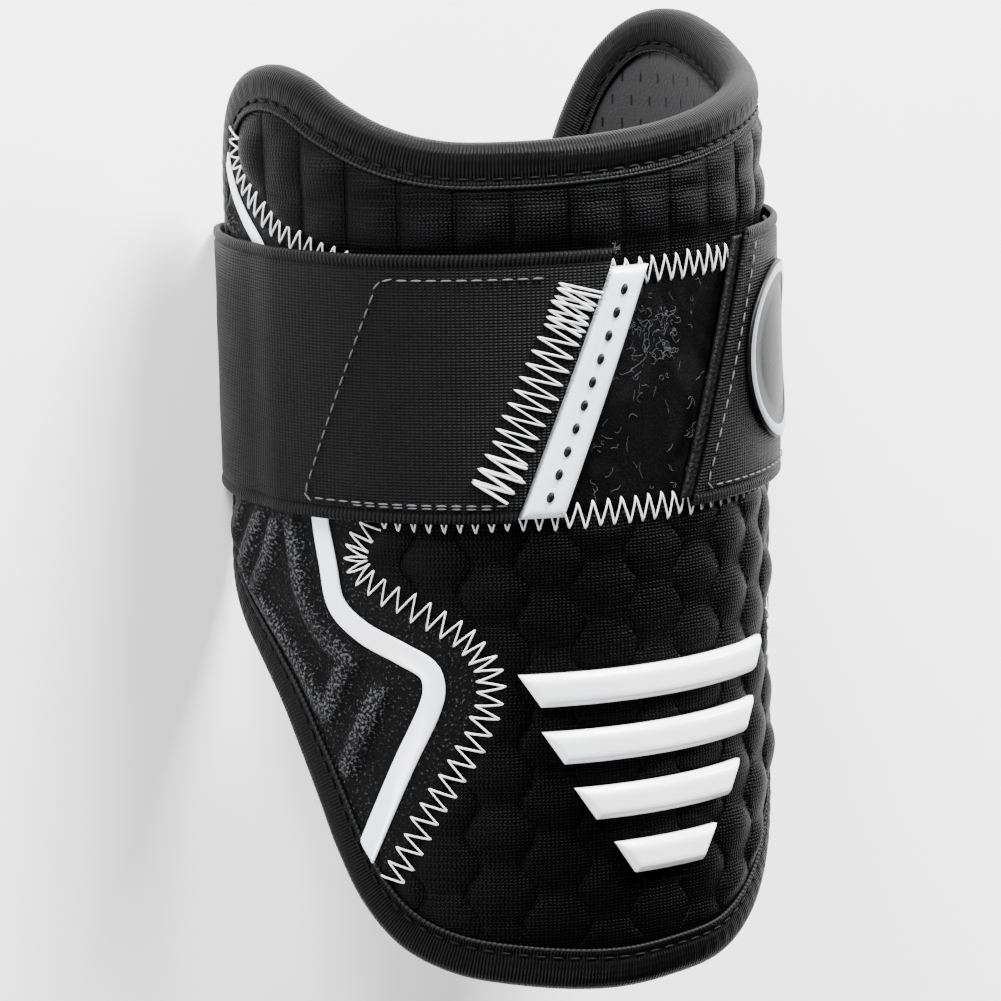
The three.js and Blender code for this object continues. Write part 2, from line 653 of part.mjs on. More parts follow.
const guard = new THREE.Group();
function add(name, geometry, material) {
  const mesh = new THREE.Mesh(geometry, material);
  mesh.name = name;
  guard.add(mesh);
  return mesh;
}

const binding = bindingGeometry();
binding.computeBoundingBox();
add("padded_shell", padGeometry(), BLACK_FOAM);
add("inner_lining", liningGeometry(), BLACK_LINING);
add("edge_binding", binding, BLACK_BINDING);
add("upper_knit_cover", knitGeometry(LOOP_HIGH + SEAM_GAP, GUARD_HEIGHT), BLACK_KNIT);
add("lower_knit_cover", knitGeometry(0, LOOP_LOW - SEAM_GAP), BLACK_KNIT);
add("loop_panel", loopPanelGeometry(), BLACK_LOOP);
add("side_panel_near", sidePanelGeometry(-1), BLACK_EMBOSSED);
add("side_panel_far", sidePanelGeometry(1), BLACK_EMBOSSED);
add("side_stripe_near", stripeGeometry(-1), SILVER_FILM);
add("side_stripe_far", stripeGeometry(1), SILVER_FILM);
add("elastic_strap", strapGeometry(binding.boundingBox.max.y), BLACK_ELASTIC);
const nearPatch = hookPatchGeometry(slanted(HOOK_NEAR), slanted(NEAR_END, -CLEARANCE));
const farPatch = hookPatchGeometry(slanted(FAR_END, -STRAP_END_GAP), slanted(HOOK_FAR));
add("hook_patch_near", nearPatch, BLACK_HOOK);
add("hook_patch_far", farPatch, BLACK_HOOK);
add("pull_label", labelGeometry(), SILVER_RUBBER);
BARS.forEach((_, index) => add(`front_bar_${index + 1}`, barGeometry(index), WHITE_RUBBER));
add("strap_badge", badgeGeometry(), GREY_RUBBER);

// Lay the guard on its back: the strap's straight run is down and the front is up.
guard.rotation.x = -Math.PI / 2;
const box = new THREE.Box3().setFromObject(guard);
guard.position.set(-(box.min.x + box.max.x) / 2, -(box.min.y + box.max.y) / 2, -box.min.z);

export default guard;
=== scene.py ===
# A batter's elbow guard: a padded C-shaped shell with a quilted knit cover, embossed side
# panels, a knitted edge binding, moulded front bars and one wide elastic strap.
# It lies on its back on a pale floor, and is seen from its front and near side.
import math

import bmesh
import bpy
import numpy as np
from mathutils import Matrix, Vector


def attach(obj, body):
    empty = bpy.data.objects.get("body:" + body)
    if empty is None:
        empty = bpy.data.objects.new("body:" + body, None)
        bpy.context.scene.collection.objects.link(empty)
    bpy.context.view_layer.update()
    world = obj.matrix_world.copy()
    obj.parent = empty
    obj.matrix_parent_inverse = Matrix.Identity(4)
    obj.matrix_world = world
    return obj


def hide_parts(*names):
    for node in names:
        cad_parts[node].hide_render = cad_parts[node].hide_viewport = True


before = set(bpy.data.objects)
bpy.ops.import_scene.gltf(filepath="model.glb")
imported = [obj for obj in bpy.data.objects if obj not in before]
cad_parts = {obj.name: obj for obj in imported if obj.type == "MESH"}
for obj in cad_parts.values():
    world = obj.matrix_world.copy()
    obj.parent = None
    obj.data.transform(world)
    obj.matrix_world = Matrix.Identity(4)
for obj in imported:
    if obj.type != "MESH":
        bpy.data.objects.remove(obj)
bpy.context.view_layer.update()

# Sizes of the guard drawn upright, in millimetres: the arm's axis is Z and the front is -Y.
GUARD_HEIGHT = 177.0
COVER_RADIUS = 51.6
WING_ANGLE = math.radians(134)
ACROSS = WING_ANGLE * COVER_RADIUS
COVER_THICKNESS = 1.4
PAD_THICKNESS = 3.2
LINING_THICKNESS = 1.0
CLEARANCE = 0.3
PAD_OUTER = COVER_RADIUS - COVER_THICKNESS - CLEARANCE
PAD_INNER = PAD_OUTER - PAD_THICKNESS
LINING_INNER = PAD_INNER - CLEARANCE - LINING_THICKNESS
BINDING_WIDTH, BINDING_THICKNESS = 8.0, 1.4
BINDING_OUTER = PAD_OUTER + CLEARANCE + BINDING_THICKNESS
BINDING_INNER = PAD_INNER - CLEARANCE - BINDING_THICKNESS
RIM_ROUND = 3.0
STITCH_LINE = 6.5  # the binding's stitches, in from the rim
STRAP_LOW, STRAP_WIDTH, STRAP_THICKNESS = 90.7, 50.0, 1.4
STRAP_HIGH = STRAP_LOW + STRAP_WIDTH
STRAP_MIDDLE = STRAP_LOW + STRAP_WIDTH / 2
SELVAGE = 2.3  # the rolled edges of the strap
STRIPE_INNER = COVER_RADIUS + CLEARANCE
STRIPE_WIDTH, STRIPE_THICKNESS = 4.3, 0.25
STRAP_INNER = STRIPE_INNER + STRIPE_THICKNESS + CLEARANCE
HOOK_THICKNESS = 0.8
HOOK_MARGIN = 1.5  # from a hook tape to the strap's edges
STRAP_RAISED = STRAP_INNER + HOOK_THICKNESS + CLEARANCE
STRAP_CORNER = 4.2  # inside radius where the strap leaves a wing
WAIST_DEPTH, WAIST_REACH = 1.6, 60.0  # how far, and over what height, the strap draws the wings in
WAIST_START, WAIST_FULL = math.radians(55), math.radians(105)
LOOP_LOW, LOOP_HIGH = STRAP_LOW + 0.5, STRAP_HIGH - 5.1
LUMP_PITCH, LUMP_RISE, LUMP_HEIGHT = 10.6, 11.4, 1.35
CHANNEL_SWAY = 1.45  # how far the quilting's channels wave to each side
CHANNEL_BEND_END = LOOP_HIGH - 3  # above this height the channels run straight
UPPER_LUMP_START = 138.3
RIB_HEIGHT = 1.35
RIM_DIP, RIM_DIP_WIDTH = 0.5, 1.2  # how a cloth dips under the binding
SEAM_DIP, SEAM_DIP_WIDTH = 0.6, 0.8  # and into its seams
FLAT_EDGE = 4  # a cloth's relief comes up over this far from its edges
CLOTH_WALL = 0.9
OVERHANG = 1.3  # how far a cloth goes on past its seam, tucked out of sight
TURN = 2 * math.pi

# Where the upright guard lies in the shared frame: the arm's axis and the rim's lowest point
AXIS_X, AXIS_Z, RIM_Y = 0.514, 35.647, -88.283
AXIS = (AXIS_X / 1000, 0, AXIS_Z / 1000)

# The rim's outline: across is a share of the wing angle, up a share of the height.
RIM = [
    (-1.0, 0.53), (-0.993, 0.63), (-0.968, 0.735), (-0.94, 0.825), (-0.9, 0.888), (-0.843, 0.942),
    (-0.776, 0.972), (-0.7, 0.982), (-0.627, 0.973), (-0.552, 0.947), (-0.463, 0.922),
    (-0.373, 0.909), (-0.254, 0.907), (-0.119, 0.91), (0.0, 0.916), (0.119, 0.926), (0.254, 0.94),
    (0.373, 0.95), (0.478, 0.965), (0.567, 0.984), (0.657, 0.998), (0.731, 0.996), (0.798, 0.977),
    (0.858, 0.94), (0.903, 0.89), (0.94, 0.825), (0.968, 0.735), (0.993, 0.63), (1.0, 0.53),
    (0.985, 0.468), (0.935, 0.427), (0.85, 0.398), (0.75, 0.368), (0.64, 0.334), (0.54, 0.29),
    (0.462, 0.225), (0.384, 0.157), (0.296, 0.088), (0.203, 0.04), (0.105, 0.012), (-0.015, 0.003),
    (-0.127, 0.0), (-0.284, 0.011), (-0.392, 0.025), (-0.48, 0.052), (-0.546, 0.096),
    (-0.595, 0.151), (-0.632, 0.204), (-0.672, 0.254), (-0.716, 0.299), (-0.778, 0.34),
    (-0.868, 0.379), (-0.94, 0.415), (-0.985, 0.468),
]
SIDE_SEAM = [
    (0.52, 0.09), (0.478, 0.128), (0.448, 0.162), (0.418, 0.2), (0.373, 0.244), (0.336, 0.287),
    (0.313, 0.33), (0.315, 0.357), (0.34, 0.382), (0.388, 0.404), (0.455, 0.429), (0.515, 0.45),
    (0.54, 0.468), (0.525, 0.486), (0.498, 0.503), (0.492, 0.52), (0.492, 0.54), (0.492, 0.64),
    (0.492, 0.74), (0.495, 0.762), (0.522, 0.778), (0.596, 0.793), (0.68, 0.813), (0.726, 0.831),
    (0.763, 0.848), (0.79, 0.868), (0.8, 0.892), (0.79, 0.925),
]
STRIPE = [
    (0.515, 0.167), (0.455, 0.253), (0.41, 0.315), (0.403, 0.335), (0.41, 0.354), (0.455, 0.372),
    (0.522, 0.393), (0.567, 0.419), (0.582, 0.46), (0.597, 0.511), (0.612, 0.62), (0.657, 0.715),
    (0.73, 0.79), (0.775, 0.817), (0.815, 0.845), (0.835, 0.875), (0.835, 0.91),
]
# The strap's two slanted ends and the hook tapes' hidden ends, at the strap's lower and upper edge
NEAR_END, FAR_END = (-0.272, -0.112), (0.015, 0.164)
HOOK_FAR, HOOK_NEAR = (0.26, 0.41), (-0.615, -0.475)
HOOK_SHOWS = 2.0  # the far hook tape stands out this far past the strap's end


def smoothstep(value, low, high):
    t = np.clip((value - low) / (high - low), 0, 1)
    return t * t * (3 - 2 * t)


def waist(angle, z):
    wing = smoothstep(np.abs(angle), WAIST_START, WAIST_FULL)
    away = np.clip(np.abs(z - STRAP_MIDDLE) / WAIST_REACH, 0, 1)
    return WAIST_DEPTH * wing * (1 + np.cos(np.pi * away)) / 2


def lay(x, y, z):
    """From the upright guard in millimetres to the shared frame in metres."""
    x, y, z = np.broadcast_arrays(x, y, z)
    return np.stack([x + AXIS_X, z + RIM_Y, AXIS_Z - y], -1) / 1000


def wrap(s, z, radius):
    """From the plan, in millimetres round the shell and up, to the shared frame."""
    angle = s / COVER_RADIUS
    r = radius - waist(angle, z)
    return lay(r * np.sin(angle), -r * np.cos(angle), z)


def unit(vectors):
    return vectors / np.linalg.norm(vectors, axis=1)[:, None]


def running(steps):
    """The length run so far, from 0, after each of the steps."""
    return np.concatenate([[0], np.cumsum(steps)])


def lengths(line):
    return np.linalg.norm(np.diff(line, axis=0), axis=1)


def smooth(rows, count, closed=False):
    """A centripetal curve through a table's rows, as evenly spaced points of the plan."""
    p = np.array(rows) * (ACROSS, GUARD_HEIGHT)
    if closed:
        p = np.vstack([p[-1:], p, p[:2]])
    else:
        p = np.vstack([2 * p[:1] - p[1:2], p, 2 * p[-1:] - p[-2:-1]])
    t = np.linspace(0, 1, 25)[:-1, None]
    parts = []
    for a, b, c, d in zip(p, p[1:], p[2:], p[3:]):
        u, v, w = (np.linalg.norm(k - j) ** 0.5 for j, k in ((a, b), (b, c), (c, d)))
        start = ((b - a) / u - (c - a) / (u + v) + (c - b) / v) * v
        end = ((c - b) / v - (d - b) / (v + w) + (d - c) / w) * v
        squared = 3 * (c - b) - 2 * start - end
        cubed = 2 * (b - c) + start + end
        parts.append(b + start * t + squared * t**2 + cubed * t**3)
    line = np.vstack(parts + [p[1:2] if closed else p[-2:-1]])
    length = running(lengths(line))
    at = np.linspace(0, length[-1], count + 1)
    points = np.stack([np.interp(at, length, line[:, k]) for k in (0, 1)], -1)
    return points[:-1] if closed else points


def distance_to(s, z, line, closed=False):
    """How far points of the plan are from a line of it."""
    a = line if closed else line[:-1]
    b = np.roll(line, -1, axis=0) if closed else line[1:]
    ab = b - a
    points = np.stack([np.ravel(s), np.ravel(z)], -1)
    found = np.empty(len(points))
    batch = 4000
    for i in range(0, len(points), batch):
        ap = points[i:i + batch, None] - a
        t = np.clip((ap * ab).sum(-1) / (ab * ab).sum(-1), 0, 1)
        found[i:i + batch] = np.sqrt(((ap - ab * t[..., None]) ** 2).sum(-1).min(1))
    return found.reshape(np.shape(s))


def is_inside(s, z, line):
    s, z = np.asarray(s), np.asarray(z)
    odd = np.zeros(s.shape, bool)
    for (x0, y0), (x1, y1) in zip(line, np.roll(line, -1, axis=0)):
        if y0 != y1:
            odd ^= ((y0 > z) != (y1 > z)) & (s < (x1 - x0) * (z - y0) / (y1 - y0) + x0)
    return odd


RIM_LINE = smooth(RIM, 900, closed=True)
RIM_COARSE = RIM_LINE[::3]
SEAM_LINE = smooth(SIDE_SEAM, 220)
STRIPE_LINE = smooth(STRIPE, 160)


def from_rim(s, z):
    away = distance_to(s, z, RIM_COARSE, closed=True)
    return np.where(is_inside(s, z, RIM_COARSE), away, -away)


def from_seam(s, z):
    """Distance to the side seam, positive on the knit cover's side."""
    seam = np.interp(z, SEAM_LINE[:, 1], SEAM_LINE[:, 0])
    away = distance_to(np.abs(s), z, SEAM_LINE)
    return np.where(np.abs(s) < seam, away, -away)


# Meshes

def linked(name, data):
    """An object with its data, in the scene."""
    made = bpy.data.objects.new(name, data)
    bpy.context.scene.collection.objects.link(made)
    return made


def mesh_object(name, points, faces, uv=None):
    mesh = bpy.data.meshes.new(name)
    mesh.from_pydata([tuple(p) for p in points], [], [tuple(f) for f in faces])
    if uv is not None:
        layer = mesh.uv_layers.new(name="Cloth")
        loops = np.empty(len(mesh.loops), np.int32)
        mesh.loops.foreach_get("vertex_index", loops)
        layer.data.foreach_set("uv", np.asarray(uv, np.float32)[loops].ravel())
    mesh.polygons.foreach_set("use_smooth", [True] * len(mesh.polygons))
    mesh.update()
    return linked(name, mesh)


def plan_grid(s_values, z_values):
    return np.meshgrid(s_values, z_values, indexing="ij")


def as_uv(s, z):
    return np.stack([s, z], -1).reshape(-1, 2)


def grid_faces(across, up, wrap_across=False, wrap_up=False, first=0):
    i = np.arange(across if wrap_across else across - 1)
    j = np.arange(up if wrap_up else up - 1)
    i, j = (k.ravel() for k in np.meshgrid(i, j, indexing="ij"))
    k, m = (i + 1) % across, (j + 1) % up
    return np.stack([i * up + j, k * up + j, k * up + m, i * up + m], -1) + first


def capped(across, up):
    """The faces of a closed tube of rings, with a flat cap at each end."""
    last = (across - 1) * up
    return [*map(tuple, grid_faces(across, up, wrap_up=True)), tuple(range(up)),
            tuple(reversed(range(last, last + up)))]


def used_only(points, faces, uv):
    keep, faces = np.unique(faces, return_inverse=True)
    return points[keep], faces.reshape(-1, 4), uv[keep]


def turn_outwards(piece):
    """Turn a closed mesh's faces outwards if its volume comes out negative."""
    work = bmesh.new()
    work.from_mesh(piece.data)
    if work.calc_volume(signed=True) < 0:
        bmesh.ops.reverse_faces(work, faces=work.faces)
        work.to_mesh(piece.data)
    work.free()


def thickened(piece, thickness):
    """A wall of a thickness in millimetres, behind the face that is drawn."""
    wall = piece.modifiers.new("thickness", "SOLIDIFY")
    wall.thickness = thickness / 1000
    wall.offset = -1


def dress(piece, material, node):
    piece.data.materials.append(material)
    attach(piece, "root")
    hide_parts(node)


def cloth(name, node, material, s_range, z_range, step, inside, radius, raised=None,
          thickness=CLOTH_WALL, inward=False):
    """A sewn sheet over part of the plan. inside gives how far in from its outline a point is,
    and radius its face's distance from the arm's axis."""
    ranges = (s_range, z_range)
    s, z = plan_grid(*(np.linspace(low, high, round((high - low) / step) + 1) for low, high in ranges))
    edge = inside(s, z)
    face = wrap(s, z, radius(s, z, edge)).reshape(-1, 3)
    faces = grid_faces(*s.shape)
    faces = faces[edge.ravel()[faces].min(1) > -OVERHANG]
    if inward:
        faces = faces[:, ::-1]
    points, faces, uv = used_only(face, faces, as_uv(s, z))
    piece = mesh_object(name, points, faces, uv)
    if raised is not None:
        layer = piece.data.attributes.new("Raised", "FLOAT", "POINT")
        layer.data.foreach_set("value", raised(uv[:, 0], uv[:, 1]).astype(np.float32))
    thickened(piece, thickness)
    dress(piece, material, node)


def valley(edge, depth, width):
    """How far a cloth edge dips towards its seam; past the seam it goes on down."""
    sinking = 0.7
    return depth * np.exp(-np.maximum(edge, 0) / width) + sinking * np.maximum(-edge, 0)


# Materials

def linear(hex_colour):
    srgb = [int(hex_colour[i:i + 2], 16) / 255 for i in (0, 2, 4)]
    return tuple(c / 12.92 if c <= 0.04045 else ((c + 0.055) / 1.055) ** 2.4 for c in srgb) + (1,)


def add(tree, kind, settings=None, **inputs):
    """One node with its settings; inputs are values or the sockets that feed them."""
    node = tree.nodes.new(kind)
    for key, value in (settings or {}).items():
        setattr(node, key, value)
    for key, value in inputs.items():
        socket = node.inputs[int(key[1:]) if key[1:].isdigit() else key.replace("_", " ")]
        if isinstance(value, bpy.types.NodeSocket):
            tree.links.new(value, socket)
        else:
            socket.default_value = value
    return node


def finish(name, roughness, specular=0.5, coat=0.0):
    """A material with plain surface values; its pattern is linked to it afterwards."""
    material = bpy.data.materials.new(name)
    material.use_nodes = True
    shader = material.node_tree.nodes["Principled BSDF"]
    values = {"Roughness": roughness, "Specular IOR Level": specular, "Coat Weight": coat,
              "Coat Roughness": 0.15}
    for key, value in values.items():
        shader.inputs[key].default_value = value
    return material, material.node_tree


def patterned(material, height, depth, factor, low, high):
    """Shows a pattern: its height as relief of a depth in mm, and its factor from one colour to
    another."""
    tree = material.node_tree
    shader = tree.nodes["Principled BSDF"]
    relief = add(tree, "ShaderNodeBump", Height=height, Distance=depth / 1000)
    colour = add(tree, "ShaderNodeMix", {"data_type": "RGBA"},
                 Factor=factor, i6=linear(low), i7=linear(high))
    tree.links.new(relief.outputs[0], shader.inputs["Normal"])
    tree.links.new(colour.outputs[2], shader.inputs["Base Color"])
    return material


def chain(tree, start, *steps):
    """A sum worked out step by step: each step is an operation and its second value."""
    for operation, value in steps:
        start = add(tree, "ShaderNodeMath", {"operation": operation}, i0=start, i1=value).outputs[0]
    return start


IN_PLAN = {"noise_dimensions": "2D"}
DRIFT_SIZE = 2.86  # the patches, in mm, over which a cloth's threads wander


def cloth_map(tree, wobble=0.0):
    """The cloth's own map and its two directions, in mm; the wobble is how far threads wander."""
    uv = add(tree, "ShaderNodeUVMap", {"uv_map": "Cloth"}).outputs[0]
    if wobble:
        drift = add(tree, "ShaderNodeTexNoise", IN_PLAN, Vector=uv, Scale=1 / DRIFT_SIZE)
        centred = add(tree, "ShaderNodeVectorMath", {"operation": "SUBTRACT"},
                      i0=drift.outputs["Color"], i1=(0.5, 0.5, 0.5))
        moved = add(tree, "ShaderNodeVectorMath", {"operation": "MULTIPLY_ADD"},
                    i0=centred.outputs[0], i1=(wobble, wobble, wobble), i2=uv)
        uv = moved.outputs[0]
    parts = add(tree, "ShaderNodeSeparateXYZ", i0=uv).outputs
    return uv, parts[0], parts[1]


def raised_part(tree):
    return add(tree, "ShaderNodeAttribute", {"attribute_name": "Raised"}).outputs["Fac"]


# Warp-knit polyester mesh, pressed into the foam's channels. Knitting gives it columns of small
# loops: deep matt black. A faint glint on each loop is painted into the colour, as a painted
# highlight that is strongest where a lump lifts it to the light; in the channels the colour stays
# darkest, as painted shade. The real loops are about half a millimetre, and are drawn a little
# coarser so that they show.
KNIT_COLUMN, KNIT_ROW = 0.8, 0.62
KNIT_LEAN = 1.1  # how far, as a phase, the columns of loops zigzag


def knit_finish():
    material, tree = finish("warp-knit polyester mesh", 0.42, 0.027)
    uv, s, z = cloth_map(tree, wobble=0.5)
    along = chain(tree, z, ("MULTIPLY", TURN / KNIT_ROW))
    lean = chain(tree, along, ("MULTIPLY", 0.5), ("SINE", 0), ("MULTIPLY", KNIT_LEAN))
    columns = chain(tree, s, ("MULTIPLY", TURN / KNIT_COLUMN), ("ADD", lean), ("COSINE", 0),
                    ("MULTIPLY", 0.5), ("ADD", 0.5))
    rows = chain(tree, along, ("COSINE", 0), ("MULTIPLY", 0.35), ("ADD", 0.5))
    loops = chain(tree, columns, ("POWER", 0.7), ("MULTIPLY", rows))
    # The channels are drawn where the mesh has them, so that their bottoms stay narrow
    below = chain(tree, z, ("LESS_THAN", CHANNEL_BEND_END), ("MULTIPLY", CHANNEL_SWAY))
    wave = chain(tree, z, ("MULTIPLY", TURN / LUMP_RISE), ("SINE", 0), ("MULTIPLY", below))
    nearest = chain(tree, s, ("DIVIDE", LUMP_PITCH), ("ROUND", 0))
    shift = chain(tree, nearest, ("MODULO", 2), ("ABSOLUTE", 0), ("MULTIPLY", -2.0), ("ADD", 1.0),
                  ("MULTIPLY", wave))
    middle = chain(tree, nearest, ("MULTIPLY", LUMP_PITCH), ("ADD", shift))
    channel = chain(tree, s, ("SUBTRACT", middle), ("ABSOLUTE", 0), ("MULTIPLY", -4.0),
                    ("ADD", 1.6), ("MAXIMUM", 0.0), ("MINIMUM", 1.0), ("MULTIPLY", 1.6))
    height = chain(tree, loops, ("SUBTRACT", channel))
    uneven = add(tree, "ShaderNodeTexNoise", IN_PLAN, Vector=uv, Scale=1 / 8.33, Detail=3.0)
    # Painted highlight on the lumps and painted shade in the channels: the colour follows the loops'
    # height, made paler where a lump is raised
    painted_glint = chain(tree, raised_part(tree), ("MULTIPLY", 1.1), ("ADD", 0.07))
    factor = chain(tree, height, ("MULTIPLY", uneven.outputs[0]), ("MULTIPLY", painted_glint),
                   ("MULTIPLY", 1.4))
    return patterned(material, height, 0.16, factor, "010101", "17171a")


# Knitted nylon binding tape, folded over the rim. Fine ribs run across it, and catch the light in
# a soft line along the rim's top. The real ribs are about 0.5 mm apart, and are drawn a little
# coarser so that they show.
BINDING_RIB, BINDING_LOOP = 0.66, 1.2


def binding_finish():
    material, tree = finish("knitted nylon binding tape", 0.42, 0.05)
    _, along, over = cloth_map(tree, wobble=0.2)
    ribs = chain(tree, along, ("MULTIPLY", TURN / BINDING_RIB), ("COSINE", 0), ("MULTIPLY", 0.5),
                 ("ADD", 0.5), ("POWER", 0.8))
    loops = chain(tree, over, ("MULTIPLY", TURN / BINDING_LOOP), ("COSINE", 0),
                  ("MULTIPLY", 0.15), ("ADD", 0.85))
    height = chain(tree, ribs, ("MULTIPLY", loops))
    return patterned(material, height, 0.2, height, "010101", "070708")


# Woven elastic webbing. Upright cords crossed by level picks give a fine even grid, dull black,
# with a smooth rolled selvage along each edge. The real cords are about 0.7 mm apart, and are
# drawn a little coarser so that they show.
ELASTIC_CORD, ELASTIC_PICK = 0.85, 0.58


def elastic_finish():
    material, tree = finish("woven elastic webbing", 0.45, 0.05)
    _, along, up = cloth_map(tree, wobble=0.1)
    cords = chain(tree, along, ("MULTIPLY", TURN / ELASTIC_CORD), ("COSINE", 0),
                  ("MULTIPLY", -0.5), ("ADD", 0.5), ("POWER", 0.5))
    picks = chain(tree, up, ("MULTIPLY", TURN / ELASTIC_PICK), ("COSINE", 0), ("MULTIPLY", 0.5),
                  ("ADD", 0.5), ("POWER", 0.8))
    from_middle = chain(tree, up, ("SUBTRACT", STRAP_MIDDLE), ("ABSOLUTE", 0))
    selvage_line = STRAP_WIDTH / 2 - SELVAGE
    # The groove inside each selvage is painted darkest, as painted shade; beyond it the rolled selvage
    # shows its cords only and is painted a little paler, as a painted highlight
    groove = chain(tree, from_middle, ("SUBTRACT", selvage_line), ("ABSOLUTE", 0),
                   ("LESS_THAN", 0.22))
    selvage = chain(tree, from_middle, ("GREATER_THAN", selvage_line), ("MULTIPLY", 0.8))
    height = chain(tree, picks, ("MAXIMUM", selvage), ("MULTIPLY", cords), ("SUBTRACT", groove))
    return patterned(material, height, 0.3, height, "010101", "0c0c0d")


# Brushed nylon loop cloth. Brushing raises a pile that swallows light, with paler patches a
# centimetre or so across where hooks have worn it.
def loop_finish():
    material, tree = finish("brushed nylon loop cloth", 0.55, 0.02)
    uv, _, _ = cloth_map(tree)
    pile = add(tree, "ShaderNodeTexNoise", IN_PLAN, Vector=uv, Scale=1 / 0.455, Detail=6.0,
               Roughness=0.7)
    worn = add(tree, "ShaderNodeTexNoise", IN_PLAN, Vector=uv, Scale=1 / 14.3, Detail=4.0,
               Distortion=1.5)
    factor = chain(tree, worn.outputs[0], ("SUBTRACT", 0.5), ("MULTIPLY", 2.2),
                   ("MULTIPLY", pile.outputs[0]))
    return patterned(material, pile.outputs[0], 0.5, factor, "010101", "1b1b1d")


# Sueded polyester, embossed with hot ribs: a matt nap, pressed flat between the ribs, with pale
# specks of about half a millimetre. On top of the ribs the specks are painted thicker and the colour
# a little paler, as a painted highlight.
def suede_finish():
    material, tree = finish("embossed sueded polyester", 0.5, 0.045)
    uv, _, _ = cloth_map(tree)
    nap = add(tree, "ShaderNodeTexNoise", IN_PLAN, Vector=uv, Scale=1 / 0.588, Detail=4.0,
              Roughness=0.7)
    patch = add(tree, "ShaderNodeTexNoise", IN_PLAN, Vector=uv, Scale=1 / 10, Detail=2.0)
    # Painted highlight: the ribs' raised tops get thicker specks and a paler colour
    worn = chain(tree, raised_part(tree), ("MULTIPLY", 0.11), ("ADD", 0.37))
    brushed = chain(tree, raised_part(tree), ("MULTIPLY", 0.06))
    specks = chain(tree, nap.outputs[0], ("ADD", worn), ("SUBTRACT", 0.975), ("MULTIPLY", 15.0),
                   ("MULTIPLY", patch.outputs[0]), ("ADD", brushed), ("MAXIMUM", 0.0),
                   ("MINIMUM", 1.0))
    return patterned(material, nap.outputs[0], 0.25, specks, "010101", "424245")


# Slitted stretch lining: smooth dark jersey, cut for air with staggered rows of short slits,
# which show as black strokes.
SLIT_PITCH, SLIT_ROW = 5.2, 4.6


def lining_finish():
    material, tree = finish("slitted stretch lining", 0.5, 0.08)
    uv, s, z = cloth_map(tree)
    shift = chain(tree, z, ("DIVIDE", SLIT_ROW), ("FLOOR", 0), ("MODULO", 2), ("ABSOLUTE", 0),
                  ("MULTIPLY", 0.5))
    beside = chain(tree, s, ("DIVIDE", SLIT_PITCH), ("ADD", shift), ("FRACT", 0),
                   ("SUBTRACT", 0.5), ("ABSOLUTE", 0), ("LESS_THAN", 0.055))
    slit = chain(tree, z, ("DIVIDE", SLIT_ROW), ("FRACT", 0), ("SUBTRACT", 0.5), ("ABSOLUTE", 0),
                 ("LESS_THAN", 0.21), ("MULTIPLY", beside))
    grain = add(tree, "ShaderNodeTexNoise", IN_PLAN, Vector=uv, Scale=1 / 0.667, Detail=4.0)
    height = chain(tree, grain.outputs[0], ("MULTIPLY", 0.3), ("SUBTRACT", slit))
    return patterned(material, height, 0.5, slit, "222223", "000000")


def grained(tree, size, detail=2.0):
    """An even grain through the piece, of a size in millimetres."""
    place = add(tree, "ShaderNodeTexCoord").outputs["Object"]
    return add(tree, "ShaderNodeTexNoise", Vector=place, Scale=1000 / size, Detail=detail).outputs[0]


# Pearly film and rubber, moulded or printed smooth: a clean gloss, and a slow change over a few
# centimetres from a pinkish to a bluish white.
def pearl_finish(name, warm, cool, roughness, coat):
    material, tree = finish(name, roughness, coat=coat)
    factor = chain(tree, grained(tree, 35.7, 1.0), ("SUBTRACT", 0.35), ("MULTIPLY", 3.0))
    return patterned(material, grained(tree, 0.4), 0.02, factor, warm, cool)


# Spun polyester thread: fibres twisted together, with a soft shine that is uneven along it
def thread_finish(name, base, light, specular=0.15):
    material, tree = finish(name, 0.55, specular)
    twist = grained(tree, 0.4545)
    return patterned(material, twist, 0.08, twist, base, light)


# Plain matt stuff with an even grain: foam cells, hooks too small to see one by one, or the fine
# texture of a mould
def plain_grain(name, base, light, roughness, size, depth):
    material, tree = finish(name, roughness, 0.12)
    grain = grained(tree, size, 4.0)
    return patterned(material, grain, depth, grain, base, light)


BINDING_TAPE = binding_finish()
KNIT = knit_finish()
LOOP = loop_finish()
SUEDE = suede_finish()
LINING = lining_finish()
ELASTIC = elastic_finish()
HOOK = plain_grain("nylon hook tape", "020202", "0d0d0e", 0.6, 0.714, 0.5)
FOAM = plain_grain("closed-cell foam", "131314", "1e1e20", 0.95, 1.11, 0.2)
FILM = pearl_finish("pearl printed film", "e4dfe6", "d3e2ec", 0.28, 0.5)
WHITE_RUBBER = pearl_finish("moulded white rubber", "e9e6ea", "dfe3e8", 0.35, 0.2)
SILVER_RUBBER = pearl_finish("moulded pearl rubber", "e6e5e8", "c4d3de", 0.25, 0.5)
BADGE_RUBBER = plain_grain("moulded black rubber", "040404", "0a0a0b", 0.4, 0.667, 0.05)
SILVER_LINE = pearl_finish("silver printed rubber", "7d8086", "5f646b", 0.3, 0.3)
WHITE_THREAD = thread_finish("white polyester thread", "a2a2a5", "e6e6e8")
GREY_THREAD = thread_finish("grey polyester thread", "232325", "58585c")
BLACK_THREAD = thread_finish("black polyester thread", "010101", "060607", 0.06)
PIPING = thread_finish("black piping cord", "030303", "151517", 0.1)


# Sewn lines, made with Geometry Nodes along a path

def paths(name, runs, closed=False):
    """One object with an edge path through each run of points."""
    mesh = bpy.data.meshes.new(name)
    edges, first = [], 0
    for run in runs:
        count = len(run)
        ends = count if closed else count - 1
        edges += [(first + i, first + (i + 1) % count) for i in range(ends)]
        first += count
    mesh.from_pydata([tuple(p) for run in runs for p in run], edges, [])
    return linked(name, mesh)


